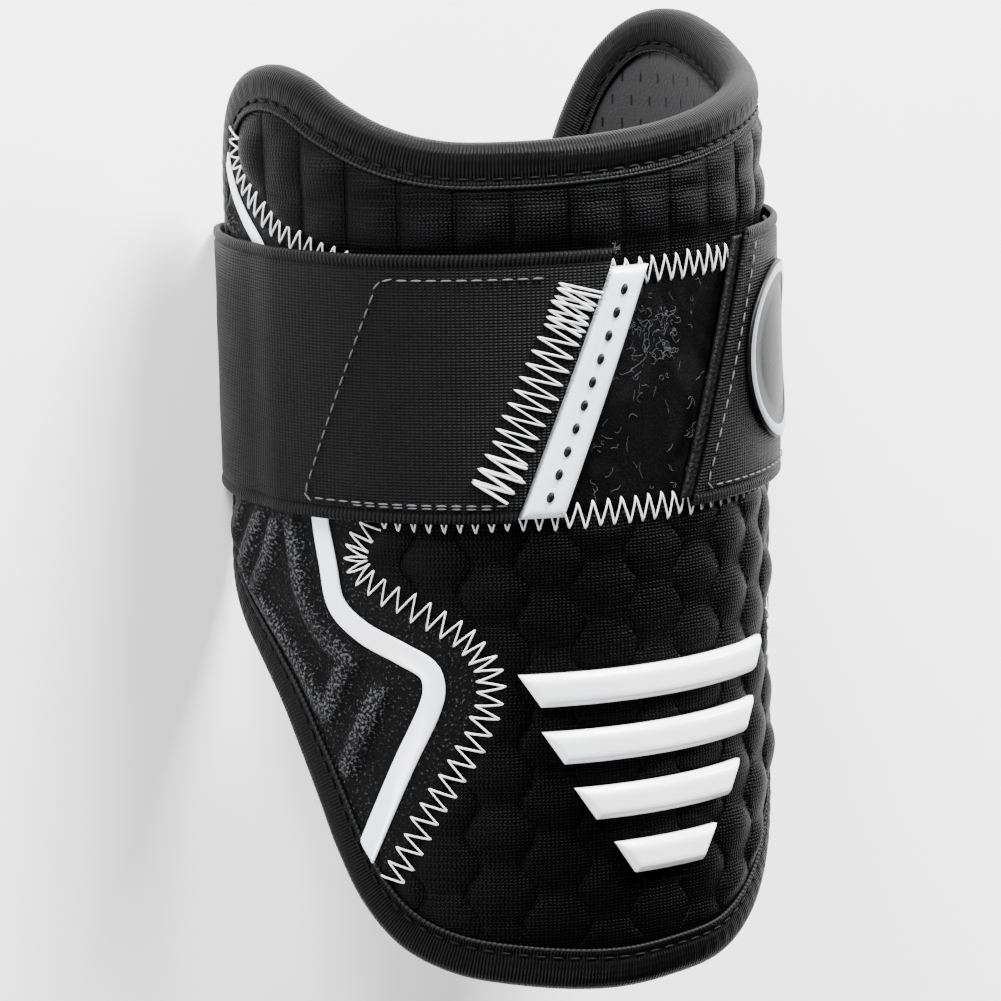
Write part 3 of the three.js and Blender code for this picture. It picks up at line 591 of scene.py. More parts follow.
def new_tree(name, sizes):
    tree = bpy.data.node_groups.new(name, "GeometryNodeTree")
    tree.interface.new_socket("Geometry", in_out="INPUT", socket_type="NodeSocketGeometry")
    for size, kind in sizes.items():
        tree.interface.new_socket(size, in_out="INPUT", socket_type=kind)
    tree.interface.new_socket("Geometry", in_out="OUTPUT", socket_type="NodeSocketGeometry")
    return tree, tree.nodes.new("NodeGroupInput").outputs


def close_tree(tree, geometry, material):
    real = add(tree, "GeometryNodeRealizeInstances", Geometry=geometry)
    made = add(tree, "GeometryNodeSetMaterial", Geometry=real.outputs[0], Material=material)
    add(tree, "NodeGroupOutput", i0=made.outputs[0])
    return tree


def dash_tree():
    """Short rounded stitches at an even pitch along the path."""
    sizes = dict.fromkeys(("Pitch", "Length", "Radius"), "NodeSocketFloat")
    tree, size = new_tree("dashed stitches", {**sizes, "Thread": "NodeSocketMaterial"})
    path = add(tree, "GeometryNodeMeshToCurve", Mesh=size["Geometry"])
    points = add(tree, "GeometryNodeResampleCurve", {"mode": "LENGTH"},
                 Curve=path.outputs[0], Length=size["Pitch"])
    along = add(tree, "GeometryNodeInputTangent")
    turn = add(tree, "FunctionNodeAlignRotationToVector", {"axis": "Z"}, Vector=along.outputs[0])
    stitch = add(tree, "GeometryNodeMeshUVSphere", Segments=8, Rings=6, Radius=1.0)
    half = chain(tree, size["Length"], ("MULTIPLY", 0.5))
    scale = add(tree, "ShaderNodeCombineXYZ", X=size["Radius"], Y=size["Radius"], Z=half)
    sewn = add(tree, "GeometryNodeInstanceOnPoints", Points=points.outputs[0],
               Instance=stitch.outputs[0], Rotation=turn.outputs[0], Scale=scale.outputs[0])
    return close_tree(tree, sewn.outputs[0], size["Thread"])


def thread_tree():
    """A round thread along each run of the path."""
    sizes = {"Radius": "NodeSocketFloat", "Thread": "NodeSocketMaterial"}
    tree, size = new_tree("loose threads", sizes)
    path = add(tree, "GeometryNodeMeshToCurve", Mesh=size["Geometry"])
    circle = add(tree, "GeometryNodeCurvePrimitiveCircle", Resolution=4, Radius=size["Radius"])
    thread = add(tree, "GeometryNodeCurveToMesh", Curve=path.outputs[0],
                 Profile_Curve=circle.outputs[0])
    return close_tree(tree, thread.outputs[0], size["Thread"])


DASHES, THREADS = dash_tree(), thread_tree()


def grown(path, tree, slot, **sizes):
    """Gives the path's object the tree's result as its mesh."""
    modifier = path.modifiers.new("sewing", "NODES")
    modifier.node_group = tree
    for socket in tree.interface.items_tree:
        key = socket.name.lower()
        if socket.in_out == "INPUT" and key in sizes:
            modifier[socket.identifier] = sizes[key]
    graph = bpy.context.evaluated_depsgraph_get()
    mesh = bpy.data.meshes.new_from_object(path.evaluated_get(graph))
    path.modifiers.clear()
    path.data = mesh
    mesh.polygons.foreach_set("use_smooth", [True] * len(mesh.polygons))
    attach(path, "root")


def dashes(name, slot, points, pitch, length, radius, thread, closed=False):
    """A row of stitches, with its sizes in millimetres."""
    grown(paths(name, [points], closed), DASHES, slot, thread=thread,
          pitch=pitch / 1000, length=length / 1000, radius=radius / 1000)


def thread_path(name, slot, runs, radius, thread):
    """Round threads along runs of points, as one piece."""
    grown(paths(name, runs), THREADS, slot, radius=radius / 1000, thread=thread)


CROWDING = 4.5  # how much closer a zigzag's turns come for each 1/mm of bend
SHARPEST = 0.35  # the sharpest bend, in 1/mm, that crowds them further
REACH_AHEAD = 2.2  # a zigzag faces the way its line takes over this far to each side, in mm


def zigzag(name, slot, line, pitch, half_width, radius, phase=0.0, seed=1):
    """A thread that swings from side to side of a line and is pulled in where it turns."""
    run = lengths(line * 1000)
    length = running(run)
    way = unit(np.diff(line, axis=0) * 1000)
    bend = lengths(way) / run[1:]
    bend = np.convolve(np.concatenate([bend[:1], bend]), np.ones(7) / 7, "same")
    turns_a_mm = 2 * (1 + CROWDING * np.minimum(bend, SHARPEST)) / pitch
    counted = running(turns_a_mm * run)
    swings = int(counted[-1])
    numbers = np.arange(swings + 1)
    chance = np.random.default_rng(seed)
    wanted = numbers + phase + chance.normal(0, 0.07, swings + 1)
    turns = np.interp(wanted, counted, length)
    uneven = 1 + chance.normal(0, 0.06, swings + 1)
    reach = half_width * uneven * np.where(numbers % 2, 1, -1)
    share = np.array([0, 0.05, 0.15, 0.35, 0.65, 0.85, 0.95])
    knots = (numbers[:-1, None] + share).ravel()
    at = np.interp(knots, numbers, turns)
    side = np.interp(knots, numbers, reach)

    def on_line(distance):
        return np.stack([np.interp(distance, length, line[:, k]) for k in range(3)], -1)

    place = on_line(at)
    along = unit(on_line(at + REACH_AHEAD) - on_line(at - REACH_AHEAD))
    out = unit((place - AXIS) * (1, 0, 1))
    across = np.cross(along, out)
    pulled_in = 0.4 * np.abs(2 * (knots % 1) - 1) ** 6
    path = place + (across * side[:, None] - out * pulled_in[:, None]) / 1000
    thread_path(name, slot, [path], radius, WHITE_THREAD)


# The foam wall inside the covers

FOAM_TUCK = 2.4  # from the rim to the foam's edge, inside the binding's fold


def foam_wall():
    s, z = plan_grid(np.linspace(-ACROSS, ACROSS, 170), np.linspace(0, GUARD_HEIGHT, 90))
    edge = from_rim(s, z) - FOAM_TUCK
    faces = grid_faces(*s.shape)
    faces = faces[edge.ravel()[faces].min(1) > 0]
    worn_in = 0.5 * np.exp(-np.maximum(edge, 0) / 2)
    face = wrap(s, z, PAD_OUTER - worn_in).reshape(-1, 3)
    piece = mesh_object("foam_wall", *used_only(face, faces, as_uv(s, z)))
    thickened(piece, PAD_THICKNESS - 0.1)
    dress(piece, FOAM, "padded_shell")


foam_wall()


# The covers

def under_strap(z):
    return 1 - smoothstep(np.abs(z - STRAP_MIDDLE), STRAP_WIDTH / 2 - 1, STRAP_WIDTH / 2 + 3)


def lumps(s, z):
    """Pillow-like lumps, 0 to 1, fuller towards their upper ends, and their channels. Below the
    strap the channels wave between staggered lumps; above it they run straight."""
    below = z < CHANNEL_BEND_END
    wave = CHANNEL_SWAY * below * np.sin(2 * np.pi * z / LUMP_RISE)
    nearest = np.round(s / LUMP_PITCH)
    offset = s - nearest * LUMP_PITCH - (1 - 2 * (nearest % 2)) * wave
    column = np.where(offset >= 0, nearest, nearest - 1)
    turn = 1 - 2 * (column % 2)
    beside = (s - column * LUMP_PITCH - turn * wave) / (LUMP_PITCH - 2 * turn * wave)
    beside = np.clip(beside, 0, 1)
    staggered = z / LUMP_RISE - 0.25 * turn
    in_rows = (z - UPPER_LUMP_START) / LUMP_RISE + 0.04 * np.sin(2.3 * column)
    v = np.where(below, staggered, in_rows)
    row = np.floor(v)
    rise = (v - row) ** 1.35
    uneven = 0.5 + 0.5 * np.sin(12.9 * column + 7.8 * row + 3 * np.sin(5.1 * column * row))
    crown = np.sin(np.pi * beside) ** 0.8 * np.sin(np.pi * rise) ** 0.8
    groove = np.exp(-((np.minimum(beside, 1 - beside) * LUMP_PITCH / 0.4) ** 2))
    return crown * (0.7 + 0.4 * uneven), groove


def boldness(s, z):
    """The lumps stand out towards the sides and above the strap, and fade under it."""
    plain_middle = -22
    bold = 0.3 + 0.7 * smoothstep(np.abs(s - plain_middle), 16, 50)
    return np.where(z > LOOP_HIGH, 0.95, bold) * (1 - 0.75 * under_strap(z))


def quilting(s, z):
    pillow, groove = lumps(s, z)
    return LUMP_HEIGHT * (0.12 + 0.88 * pillow) * boldness(s, z) - 0.32 * groove


# How raised the knit is at each point, 0 to 1; the knit's colour takes its painted highlight from it
def lumps_raised(s, z):
    return lumps(s, z)[0] ** 2 * boldness(s, z)


def cover(name, node, material, s_range, z_range, step, by_seam, relief, raised):
    """A cloth sewn down along the binding and its own seams, with its relief between them."""
    def by_rim(s, z):
        return from_rim(s, z) - BINDING_WIDTH

    def radius(s, z, edge):
        rim_dip = valley(by_rim(s, z), RIM_DIP, RIM_DIP_WIDTH)
        seam_dip = valley(by_seam(s, z), SEAM_DIP, SEAM_DIP_WIDTH)
        return COVER_RADIUS + relief(s, z) * smoothstep(edge, 0, FLAT_EDGE) - rim_dip - seam_dip

    cloth(name, node, material, s_range, z_range, step,
          lambda s, z: np.minimum(by_rim(s, z), by_seam(s, z)), radius, raised)


def knit_cover(name, node, z_range, seam_edge):
    reach = 0.86 * ACROSS
    cover(name, node, KNIT, (-reach, reach), z_range, 0.85,
          lambda s, z: np.minimum(from_seam(s, z), seam_edge(z)), quilting, lumps_raised)


knit_cover("quilted_knit_upper", "upper_knit_cover", (LOOP_HIGH - 2, GUARD_HEIGHT - 6),
           lambda z: z - LOOP_HIGH)
knit_cover("quilted_knit_lower", "lower_knit_cover", (6, LOOP_LOW + 2), lambda z: LOOP_LOW - z)


def loop_band():
    def inside(s, z):
        return np.minimum(from_seam(s, z), np.minimum(z - LOOP_LOW, LOOP_HIGH - z))

    def radius(s, z, edge):
        pile = 0.08 * np.sin(s * 0.9 + 2 * np.sin(z * 0.31)) * np.sin(z * 0.7 + np.sin(s * 0.23))
        return COVER_RADIUS + pile - valley(edge, SEAM_DIP, SEAM_DIP_WIDTH)

    cloth("brushed_loop_band", "loop_panel", LOOP, (-63, 63),
          (LOOP_LOW - 2, LOOP_HIGH + 2), 1.0, inside, radius)


loop_band()

# The side panel's embossed ribs, in mm round the shell and up, seen below the strap; above it
# the same ribs stand mirrored.
RIBS = [
    [(111, 76), (104.5, 85), (98.5, 92), (90, 101)],
    [(101.5, 76), (96.6, 81.9), (92.3, 87.2), (84, 98)],
    [(92.3, 75.5), (88.3, 80.6), (85.0, 87.8), (80, 99)],
    [(98.5, 74.6), (90.1, 71.1), (83.8, 67.0), (78.6, 62.0), (73.5, 54.5)],
    [(80.2, 96), (79.9, 87.9), (78.6, 81.4), (76.7, 74.5), (72.0, 68), (65.5, 63.8)],
    [(67.6, 61), (71.6, 53)],
    [(59.9, 57.6), (62.8, 52), (67.2, 43)],
]
RIB_LINES = [smooth([(s / ACROSS, z / GUARD_HEIGHT) for s, z in rib], 24) for rib in RIBS]


def side_ribs(s, z):
    """How high the embossed ribs stand, 0 to 1: broad soft ridges with narrow furrows. They end
    beside the stripe, and inside it the panel is plain."""
    mirrored = np.where(z > STRAP_MIDDLE, 2 * STRAP_MIDDLE - z, z)
    rib = np.zeros(np.shape(s))
    for line in RIB_LINES:
        rib = np.maximum(rib, 1 - smoothstep(distance_to(np.abs(s), mirrored, line), 0.9, 3.1))
    stripe_at = np.interp(z, STRIPE_LINE[:, 1], STRIPE_LINE[:, 0])
    beyond = smoothstep(np.abs(s) - stripe_at, 2.5, 7)
    clear = smoothstep(distance_to(np.abs(s), z, STRIPE_LINE), 2.6, 5.5)
    return rib * (1 - 0.7 * under_strap(z)) * beyond * clear


for name, node, s_range in (("embossed_side_near", "side_panel_near", (1 - ACROSS, -35)),
                            ("embossed_side_far", "side_panel_far", (35, ACROSS - 1))):
    cover(name, node, SUEDE, s_range, (12, GUARD_HEIGHT - 6), 0.9,
          lambda s, z: -from_seam(s, z), lambda s, z: RIB_HEIGHT * side_ribs(s, z), side_ribs)


def lining_cloth():
    def inside(s, z):
        return from_rim(s, z) - BINDING_WIDTH + 0.8

    def radius(s, z, edge):
        ripple = 0.12 * np.sin(z * 0.22 + 1.5 * np.sin(s * 0.05)) * np.sin(s * 0.11)
        return LINING_INNER + 0.3 + ripple + valley(edge, 0.5, 1.5)

    cloth("slitted_lining", "inner_lining", LINING, (-ACROSS, ACROSS),
          (4, GUARD_HEIGHT - 4), 1.2, inside, radius, thickness=0.7, inward=True)


lining_cloth()


# The edge binding

LEG = [  # from the tape's sewn edge towards the rim: distance in from the rim, and lift
    (8.15, -0.75), (8.05, -0.15), (7.75, 0.12), (7.35, 0.1), (7.0, -0.12), (6.6, -0.38),
    (6.2, -0.2), (5.6, 0.08), (4.8, 0.22), (3.8, 0.26), (3.0, 0.18),
]
STITCH_PITCH = 3.3  # of the binding, in mm


def rim_normals():
    step = unit(np.roll(RIM_LINE, -1, axis=0) - np.roll(RIM_LINE, 1, axis=0))
    return np.stack([step[:, 1], -step[:, 0]], -1)


RIM_IN = rim_normals()


def edge_tape():
    middle, half = (BINDING_OUTER + BINDING_INNER) / 2, (BINDING_OUTER - BINDING_INNER) / 2
    outer = [(d, BINDING_OUTER + lift, lift) for d, lift in LEG]
    turns = np.radians(np.linspace(78, -78, 13))
    over = [(RIM_ROUND * (1 - math.cos(a)), middle + (half + 0.1) * math.sin(a), 0) for a in turns]
    inner = [(d, BINDING_INNER - lift, -lift) for d, lift in reversed(LEG)]
    near_face, far_face = BINDING_INNER + BINDING_THICKNESS, BINDING_OUTER - BINDING_THICKNESS
    inside = [(8.1, near_face, 0), (2.0, near_face, 0), (2.0, far_face, 0), (8.1, far_face, 0)]
    section = np.array(outer + over + inner + inside)
    along = running(np.linalg.norm(np.roll(RIM_LINE, -1, axis=0) - RIM_LINE, axis=1))[:-1]
    pucker = 0.75 + 0.25 * np.cos(2 * np.pi * along / STITCH_PITCH)
    plan = RIM_LINE[:, None] + RIM_IN[:, None] * section[None, :, :1]
    lift = np.clip(section[:, 2], -0.4, 0.4)
    r = section[:, 1] + lift * (pucker[:, None] - 1)
    points = wrap(plan[..., 0], plan[..., 1], r).reshape(-1, 3)
    across = running(lengths(section[:, :2]))
    faces = grid_faces(*r.shape, wrap_across=True, wrap_up=True)
    piece = mesh_object("edge_tape", points, faces, as_uv(*plan_grid(along, across)))
    turn_outwards(piece)
    dress(piece, BINDING_TAPE, "edge_binding")


edge_tape()

# Rows along the binding: distance in from the rim, radius from the axis, pitch, length and
# thread radius
STITCHES = (STITCH_PITCH, 2.3, 0.3, BLACK_THREAD)
for name, inward, place, *row in (
        ("binding_stitches_outside", STITCH_LINE, BINDING_OUTER - 0.12, *STITCHES),
        ("binding_stitches_inside", STITCH_LINE, BINDING_INNER + 0.12, *STITCHES),
        ("binding_piping_inside", BINDING_WIDTH, BINDING_INNER + 0.1, 1.0, 1.3, 0.28, PIPING),
        ("binding_piping_outside", BINDING_WIDTH, BINDING_OUTER - 0.15, 1.0, 1.4, 0.42, PIPING)):
    row_line = RIM_LINE + RIM_IN * inward
    dashes(name, "binding_tape", wrap(*row_line.T, place), *row, closed=True)


# The side stripes

def stripe(side, name, node):
    lead = STRIPE_LINE[0] - STRIPE_LINE[5]
    line = np.vstack([STRIPE_LINE[0] + lead * np.linspace(1, 0.1, 8)[:, None], STRIPE_LINE])
    step = unit(np.gradient(line, axis=0))
    normal = np.stack([step[:, 1], -step[:, 0]], -1)
    narrowing = 1 - 0.45 * np.maximum(0, np.linspace(-1, 1, len(line)))
    across = np.array([-1, -0.97, -0.85, -0.5, 0, 0.5, 0.85, 0.97, 1])
    crown = np.array([-0.15, 0.12, 0.24, 0.27, 0.28, 0.27, 0.24, 0.12, -0.15])
    cut = []
    for share in across:
        column = line + normal * (STRIPE_WIDTH / 2 * narrowing * share)[:, None]
        tucked = from_rim(side * column[:, 0], column[:, 1]) - BINDING_WIDTH + 0.2
        seen = np.flatnonzero(tucked > 0)
        at = np.linspace(seen[0], seen[-1], len(line))
        cut.append(np.stack([np.interp(at, range(len(line)), column[:, i]) for i in (0, 1)], -1))
    plan = np.stack(cut, 1)
    points = wrap(side * plan[..., 0], plan[..., 1], STRIPE_INNER + crown).reshape(-1, 3)
    faces = grid_faces(*plan.shape[:2])
    if side > 0:
        faces = faces[:, ::-1]
    piece = mesh_object(name, points, faces, plan.reshape(-1, 2))
    thickened(piece, 0.3)
    dress(piece, FILM, node)


stripe(-1, "pearl_stripe_near", "side_stripe_near")
stripe(1, "pearl_stripe_far", "side_stripe_far")


# The elastic strap

# How far behind the arm's axis the strap's inner face runs, straight across the open back
BACK = AXIS_Z - STRAP_THICKNESS
# The strap rises over the hook tapes under its ends, between these degrees round the arm
NEAR_RISE, FAR_RISE = np.radians((-100, -88)), np.radians((58, 70))


def strap_radius(angle):
    near = smoothstep(angle, *NEAR_RISE)
    far = 1 - smoothstep(angle, *FAR_RISE)
    lift = np.where(angle < 0, near, far)
    return STRAP_INNER + (STRAP_RAISED - STRAP_INNER) * lift - waist(angle, STRAP_LOW)


def end_angle(end, z):
    share = end[0] + (end[1] - end[0]) * (z - STRAP_LOW) / STRAP_WIDTH
    return share * WING_ANGLE


def slanted(end, shift=0.0):
    """A line of the plan that slants with an end: the place round the shell at a height."""
    return lambda z: end_angle(end, z) * COVER_RADIUS + shift


# How many stations the strap has over each wing, round each corner and across the back
NEAR_STEPS, FAR_STEPS, CORNER_STEPS, BACK_STEPS = 110, 120, 9, 42
STRAP_CENTRE = STRAP_INNER - float(waist(np.pi, STRAP_LOW)) - STRAP_CORNER
LEAVE = math.pi - math.acos((BACK - STRAP_CORNER) / STRAP_CENTRE)


def strap_stations(z):
    """Points and outward directions of the strap's inner face at one height."""
    def on_wing(angles):
        out = np.stack([np.sin(angles), -np.cos(angles)], -1)
        return strap_radius(angles)[:, None] * out, out

    def on_corner(side, angles):
        out = np.stack([side * np.sin(angles), -np.cos(angles)], -1)
        centre = STRAP_CENTRE * np.array([side * math.sin(LEAVE), -math.cos(LEAVE)])
        return centre + STRAP_CORNER * out, out

    near = on_wing(np.linspace(end_angle(NEAR_END, z), -LEAVE, NEAR_STEPS)[:-1])
    turn_in = on_corner(-1, np.linspace(LEAVE, math.pi, CORNER_STEPS))
    turn_out = on_corner(1, np.linspace(math.pi, LEAVE, CORNER_STEPS))
    t = np.linspace(0, 1, BACK_STEPS)[1:-1, None]
    across = turn_in[0][-1] * (1 - t) + turn_out[0][0] * t
    back = across, np.broadcast_to([0.0, 1.0], across.shape)
    far = on_wing(np.linspace(LEAVE, end_angle(FAR_END, z), FAR_STEPS)[1:])
    parts = [near, turn_in, back, turn_out, far]
    return np.vstack([p for p, _ in parts]), np.vstack([out for _, out in parts])


def strap_band():
    fine = [0, 0.15, 0.5, 1.1, 1.7, 2.1, 2.5, 3.0]
    rise = np.concatenate([fine, np.linspace(4, STRAP_WIDTH / 2, 12)])
    rise = np.concatenate([rise, (STRAP_WIDTH - rise[::-1])[1:]])
    edge = np.minimum(rise, STRAP_WIDTH - rise)
    roll = 0.65 * np.sqrt(np.clip(edge / 0.5, 0, 1))
    groove = 0.32 * np.exp(-(((edge - SELVAGE) / 0.35) ** 2))
    selvage = 0.12 * np.exp(-(((edge - 1.1) / 0.7) ** 2))
    outer = np.minimum(STRAP_THICKNESS / 2 + roll - groove - 0.05 + selvage, STRAP_THICKNESS + 0.12)
    inner = np.maximum(STRAP_THICKNESS / 2 - roll, 0.02)
    heights = STRAP_LOW + np.concatenate([rise, rise[::-1][1:-1]])
    offsets = np.concatenate([outer, inner[::-1][1:-1]])
    points, uv = [], []
    for z, offset in zip(heights, offsets):
        place, out = strap_stations(z)
        ripple = 0.1 * np.sin(np.linspace(0, 60, len(place))) * np.sin(z * 0.4)
        p = place + out * (offset + ripple * (offset > 1))[:, None]
        run = running(lengths(place)) - end_angle(NEAR_END, z) * COVER_RADIUS
        points.append(lay(p[:, 0], p[:, 1], z))
        uv.append(np.stack([run, np.full(len(p), z)], -1))
    points, uv = np.stack(points, 1), np.stack(uv, 1).reshape(-1, 2)
    piece = mesh_object("elastic_band", points.reshape(-1, 3), capped(*points.shape[:2]), uv)
    turn_outwards(piece)
    dress(piece, ELASTIC, "elastic_strap")


strap_band()


def on_strap(angle, z, lift=0.1):
    r = strap_radius(angle) + STRAP_THICKNESS + lift
    return lay(r * np.sin(angle), -r * np.cos(angle), z)


def strap_line(corners, lift=0.1, count=60):
    """A straight run or several on the strap: corners are degrees round the arm and heights."""
    rows = np.array(corners, float)
    t = np.linspace(0, len(rows) - 1, count * (len(rows) - 1) + 1)
    angle, z = (np.interp(t, range(len(rows)), rows[:, k]) for k in (0, 1))
    return on_strap(np.radians(angle), z, lift)


STRAP_STITCH_PITCH = 2.75

# Rows of stitches round the hook tapes: corners, a stitch's length and the thread's radius
for name, corners, length, radius in (
        ("patch_stitches_near", [(-31, 136), (-62, 136), (-81, 94.6), (-39, 94.2)], 2.1, 0.19),
        ("patch_stitches_near_low", [(-42, 93.65), (-68, 93.95)], 1.9, 0.17),
        ("patch_stitches_far", [(24.5, 137), (5.5, 94), (50, 94)], 2.0, 0.18)):
    dashes(name, "elastic_webbing", strap_line(corners), STRAP_STITCH_PITCH, length, radius,
           GREY_THREAD)

# The wide white bartack beside the near end, sewn over again at its top and its foot: corners,
# lift, pitch, half the width, the thread's radius, phase and seed
BARTACK = [(-22.4, 134.5), (-28.4, 122), (-34.4, 109.5), (-41.4, 95.8)]
for name, corners, lift, *sizes in (
        ("bartack_near", BARTACK, 0.3, 2.7, 4.0, 0.22),
        ("bartack_near_top", [(-22.6, 134.2), (-26.4, 126)], 0.45, 2.75, 4.0, 0.28, 0.5, 2),
        ("bartack_near_low", [(-37.4, 103.6), (-41.3, 96.2)], 0.45, 2.75, 4.0, 0.28, 0.5, 3)):
    zigzag(name, "elastic_webbing", strap_line(corners, lift), *sizes)


def frayed_end():
    """Short loose yarns where the strap's near end is cut."""
    chance = np.random.default_rng(21)
    runs = []
    for z in STRAP_HIGH - STRAP_WIDTH * chance.beta(0.7, 1.6, 70):
        s, heading = end_angle(NEAR_END, z) * COVER_RADIUS - 0.4, chance.normal(0.4, 0.7)
        bend = chance.normal(0, 0.25)
        run = []
        for k in range(6):
            run.append(on_strap(s / COVER_RADIUS, z, lift=-0.6 + 0.12 * k * chance.uniform(0, 1)))
            s, z = s + 0.27 * math.cos(heading), z + 0.27 * math.sin(heading)
            heading += bend
        runs.append(run)
    thread_path("strap_end_yarns", "elastic_webbing", runs, 0.05, GREY_THREAD)


frayed_end()


def hook_fringe():
    """The hook tape's nap, seen where it stands out past the strap's far end."""
    chance = np.random.default_rng(33)
    runs = []
    for z in chance.uniform(STRAP_LOW + 1.6, STRAP_HIGH - 1.6, 420):
        s = slanted(FAR_END, -HOOK_SHOWS)(z) + chance.uniform(-0.1, 1.7)
        heading = math.pi + chance.normal(0, 0.8)
        run = []
        for k in range(4):
            run.append(wrap(s, z, STRAP_INNER + 0.5 + 0.15 * k * chance.uniform(0, 1)))
            s, z = s + 0.2 * math.cos(heading), z + 0.2 * math.sin(heading)
        runs.append(run)
    thread_path("hook_tape_nap", "hook_tape", runs, 0.05, PIPING)


hook_fringe()


# Sewn zigzags along the covers' seams

SEAM_THREAD = 0.21  # radius of the white thread of the covers' zigzags


def on_cover(s, z, lift=0.35):
    return wrap(s, z, COVER_RADIUS + lift)


def side_zigzags(side, tag):
    s, z = SEAM_LINE[:, 0] * side, SEAM_LINE[:, 1]
    inside = from_rim(s, z) > BINDING_WIDTH - 0.5
    low, high = inside & (z < LOOP_LOW + 1), inside & (z > STRAP_HIGH - 6)
    rounded = (np.convolve(np.pad(way[low], 5, "edge"), np.ones(11) / 11, "valid") for way in (s, z))
    zigzag(f"side_zigzag_low_{tag}", "knit_cloth", on_cover(*rounded), 3.5, 2.6, SEAM_THREAD)
    zigzag(f"side_zigzag_high_{tag}", "knit_cloth", on_cover(s[high], z[high]), 3.3, 2.5,
           SEAM_THREAD)


side_zigzags(-1, "near")
side_zigzags(1, "far")
for tag, z, reach in (("low", LOOP_LOW, 59), ("high", LOOP_HIGH, 57)):
    line = on_cover(np.linspace(-reach, reach, 120), z)
    zigzag(f"loop_zigzag_{tag}", "knit_cloth", line, 3.2, 2.5, SEAM_THREAD)


def loop_fuzz(tag, count, s_range, z_range, curl):
    """Curled fibres that wander over the loop band from where hooks pulled them up."""
    chance = np.random.default_rng(count)
    starts = [chance.uniform(*ends, count) for ends in (s_range, z_range, (0, TURN))]
    chance = np.random.default_rng(count + 1)
    runs = []
    for s, z, heading in zip(*starts):
        run = []
        turn = chance.normal(0, curl)
        length = 0.3 * chance.uniform(0.5, 1.2)
        height = 0.0
        for _ in range(10):
            run.append(on_cover(s, z, 0.1 + height))
            heading += turn + chance.normal(0, 0.35)
            s, z = s + length * math.cos(heading), z + length * math.sin(heading)
            height = min(max(height + chance.normal(0, 0.08), -0.1), 0.9)
        runs.append(run)
    thread_path(f"loop_fuzz_{tag}", "loop_cloth", runs, 0.03, GREY_THREAD)


loop_fuzz("wide", 90, (-22, 9), (LOOP_LOW + 3, LOOP_HIGH - 3), 0.3)
loop_fuzz("worn", 75, (-9, 1), (LOOP_HIGH - 17, LOOP_HIGH - 7), 0.4)


# Raised parts

def slab(name, node, material, left, right, low, high, base, thickness, chamfer):
    """A block that follows the shell, with chamfered edges, between two slanted sides."""
    slope = chamfer * 1.2
    bite = np.array([0, 0.15, 0.4, 0.7, 1.0]) * slope

    def spread(start, size):
        inner = np.linspace(2 * chamfer, size - 2 * chamfer, max(3, int(size / 1.5)))
        return start + np.concatenate([bite, inner, (size - bite)[::-1]])

    z = spread(low, high - low)
    left_s, right_s = left(z), right(z)
    width = float(np.mean(right_s - left_s))
    share = spread(0, width) / width
    s = left_s[None] + (right_s - left_s)[None] * share[:, None]
    z = np.broadcast_to(z, s.shape)
    from_side = np.minimum(share, 1 - share)[:, None] * width
    edge = np.minimum(from_side, np.minimum(z - low, high - z))
    drop = chamfer * (1 - np.clip(edge / slope, 0, 1)) ** 1.5
    top_and_bottom = [wrap(s, z, radius).reshape(-1, 3) for radius in (base + thickness - drop, base)]
    n, m = s.shape
    upper, lower = grid_faces(n, m), grid_faces(n, m, first=n * m)[:, ::-1]
    border = [i * m for i in range(n)] + [(n - 1) * m + j for j in range(1, m)]
    border += [i * m + m - 1 for i in range(n - 2, -1, -1)] + [j for j in range(m - 2, 0, -1)]
    ring = [(b, a, a + n * m, b + n * m) for a, b in zip(border, border[1:] + border[:1])]
    piece = mesh_object(name, np.concatenate(top_and_bottom), [*upper, *lower, *ring],
                        np.tile(as_uv(s, z), (2, 1)))
    turn_outwards(piece)
    dress(piece, material, node)


LABEL_LOW, LABEL_HIGH = STRAP_LOW + 0.6, STRAP_LOW + 46.2
LABEL_WIDTH, LABEL_THICKNESS = 8.3, 2.5
CHAMFER = 1.1  # of the moulded rubber parts
label_left = slanted(NEAR_END, CLEARANCE)
slab("pearl_pull_label", "pull_label", SILVER_RUBBER, label_left,
     slanted(NEAR_END, CLEARANCE + LABEL_WIDTH), LABEL_LOW, LABEL_HIGH, COVER_RADIUS + CLEARANCE,
     LABEL_THICKNESS, CHAMFER)

# Four raised bars down the front, each a share of the widest; their ends slant in downwards
BAR_SHARES = [1, 0.86, 0.66, 0.4]
BAR_TOP, BAR_PITCH, BAR_DEPTH, BAR_SLANT = 62.0, 11, 6.2, 4
BAR_THICKNESS, BAR_RISE = 2.0, 0.75
WIDEST_HALF, BAR_MIDDLE = 29, -4


def raised_bar(number, top, half):
    def reach(z):
        return half - BAR_SLANT * (top - z) / BAR_DEPTH

    slab(f"raised_bar_{number}", f"front_bar_{number}", WHITE_RUBBER,
         lambda z: BAR_MIDDLE - reach(z), lambda z: BAR_MIDDLE + reach(z), top - BAR_DEPTH, top,
         COVER_RADIUS + BAR_RISE, BAR_THICKNESS, CHAMFER)


for index, share in enumerate(BAR_SHARES):
    raised_bar(index + 1, BAR_TOP - BAR_PITCH * index, share * WIDEST_HALF)

for side, left, right in (("far", slanted(FAR_END, -HOOK_SHOWS), slanted(HOOK_FAR)),
                          ("near", slanted(HOOK_NEAR), slanted(NEAR_END, -CLEARANCE))):
    slab(f"hook_tape_{side}", f"hook_patch_{side}", HOOK, left, right,
         STRAP_LOW + HOOK_MARGIN, STRAP_HIGH - HOOK_MARGIN, STRAP_INNER, HOOK_THICKNESS, 0.3)

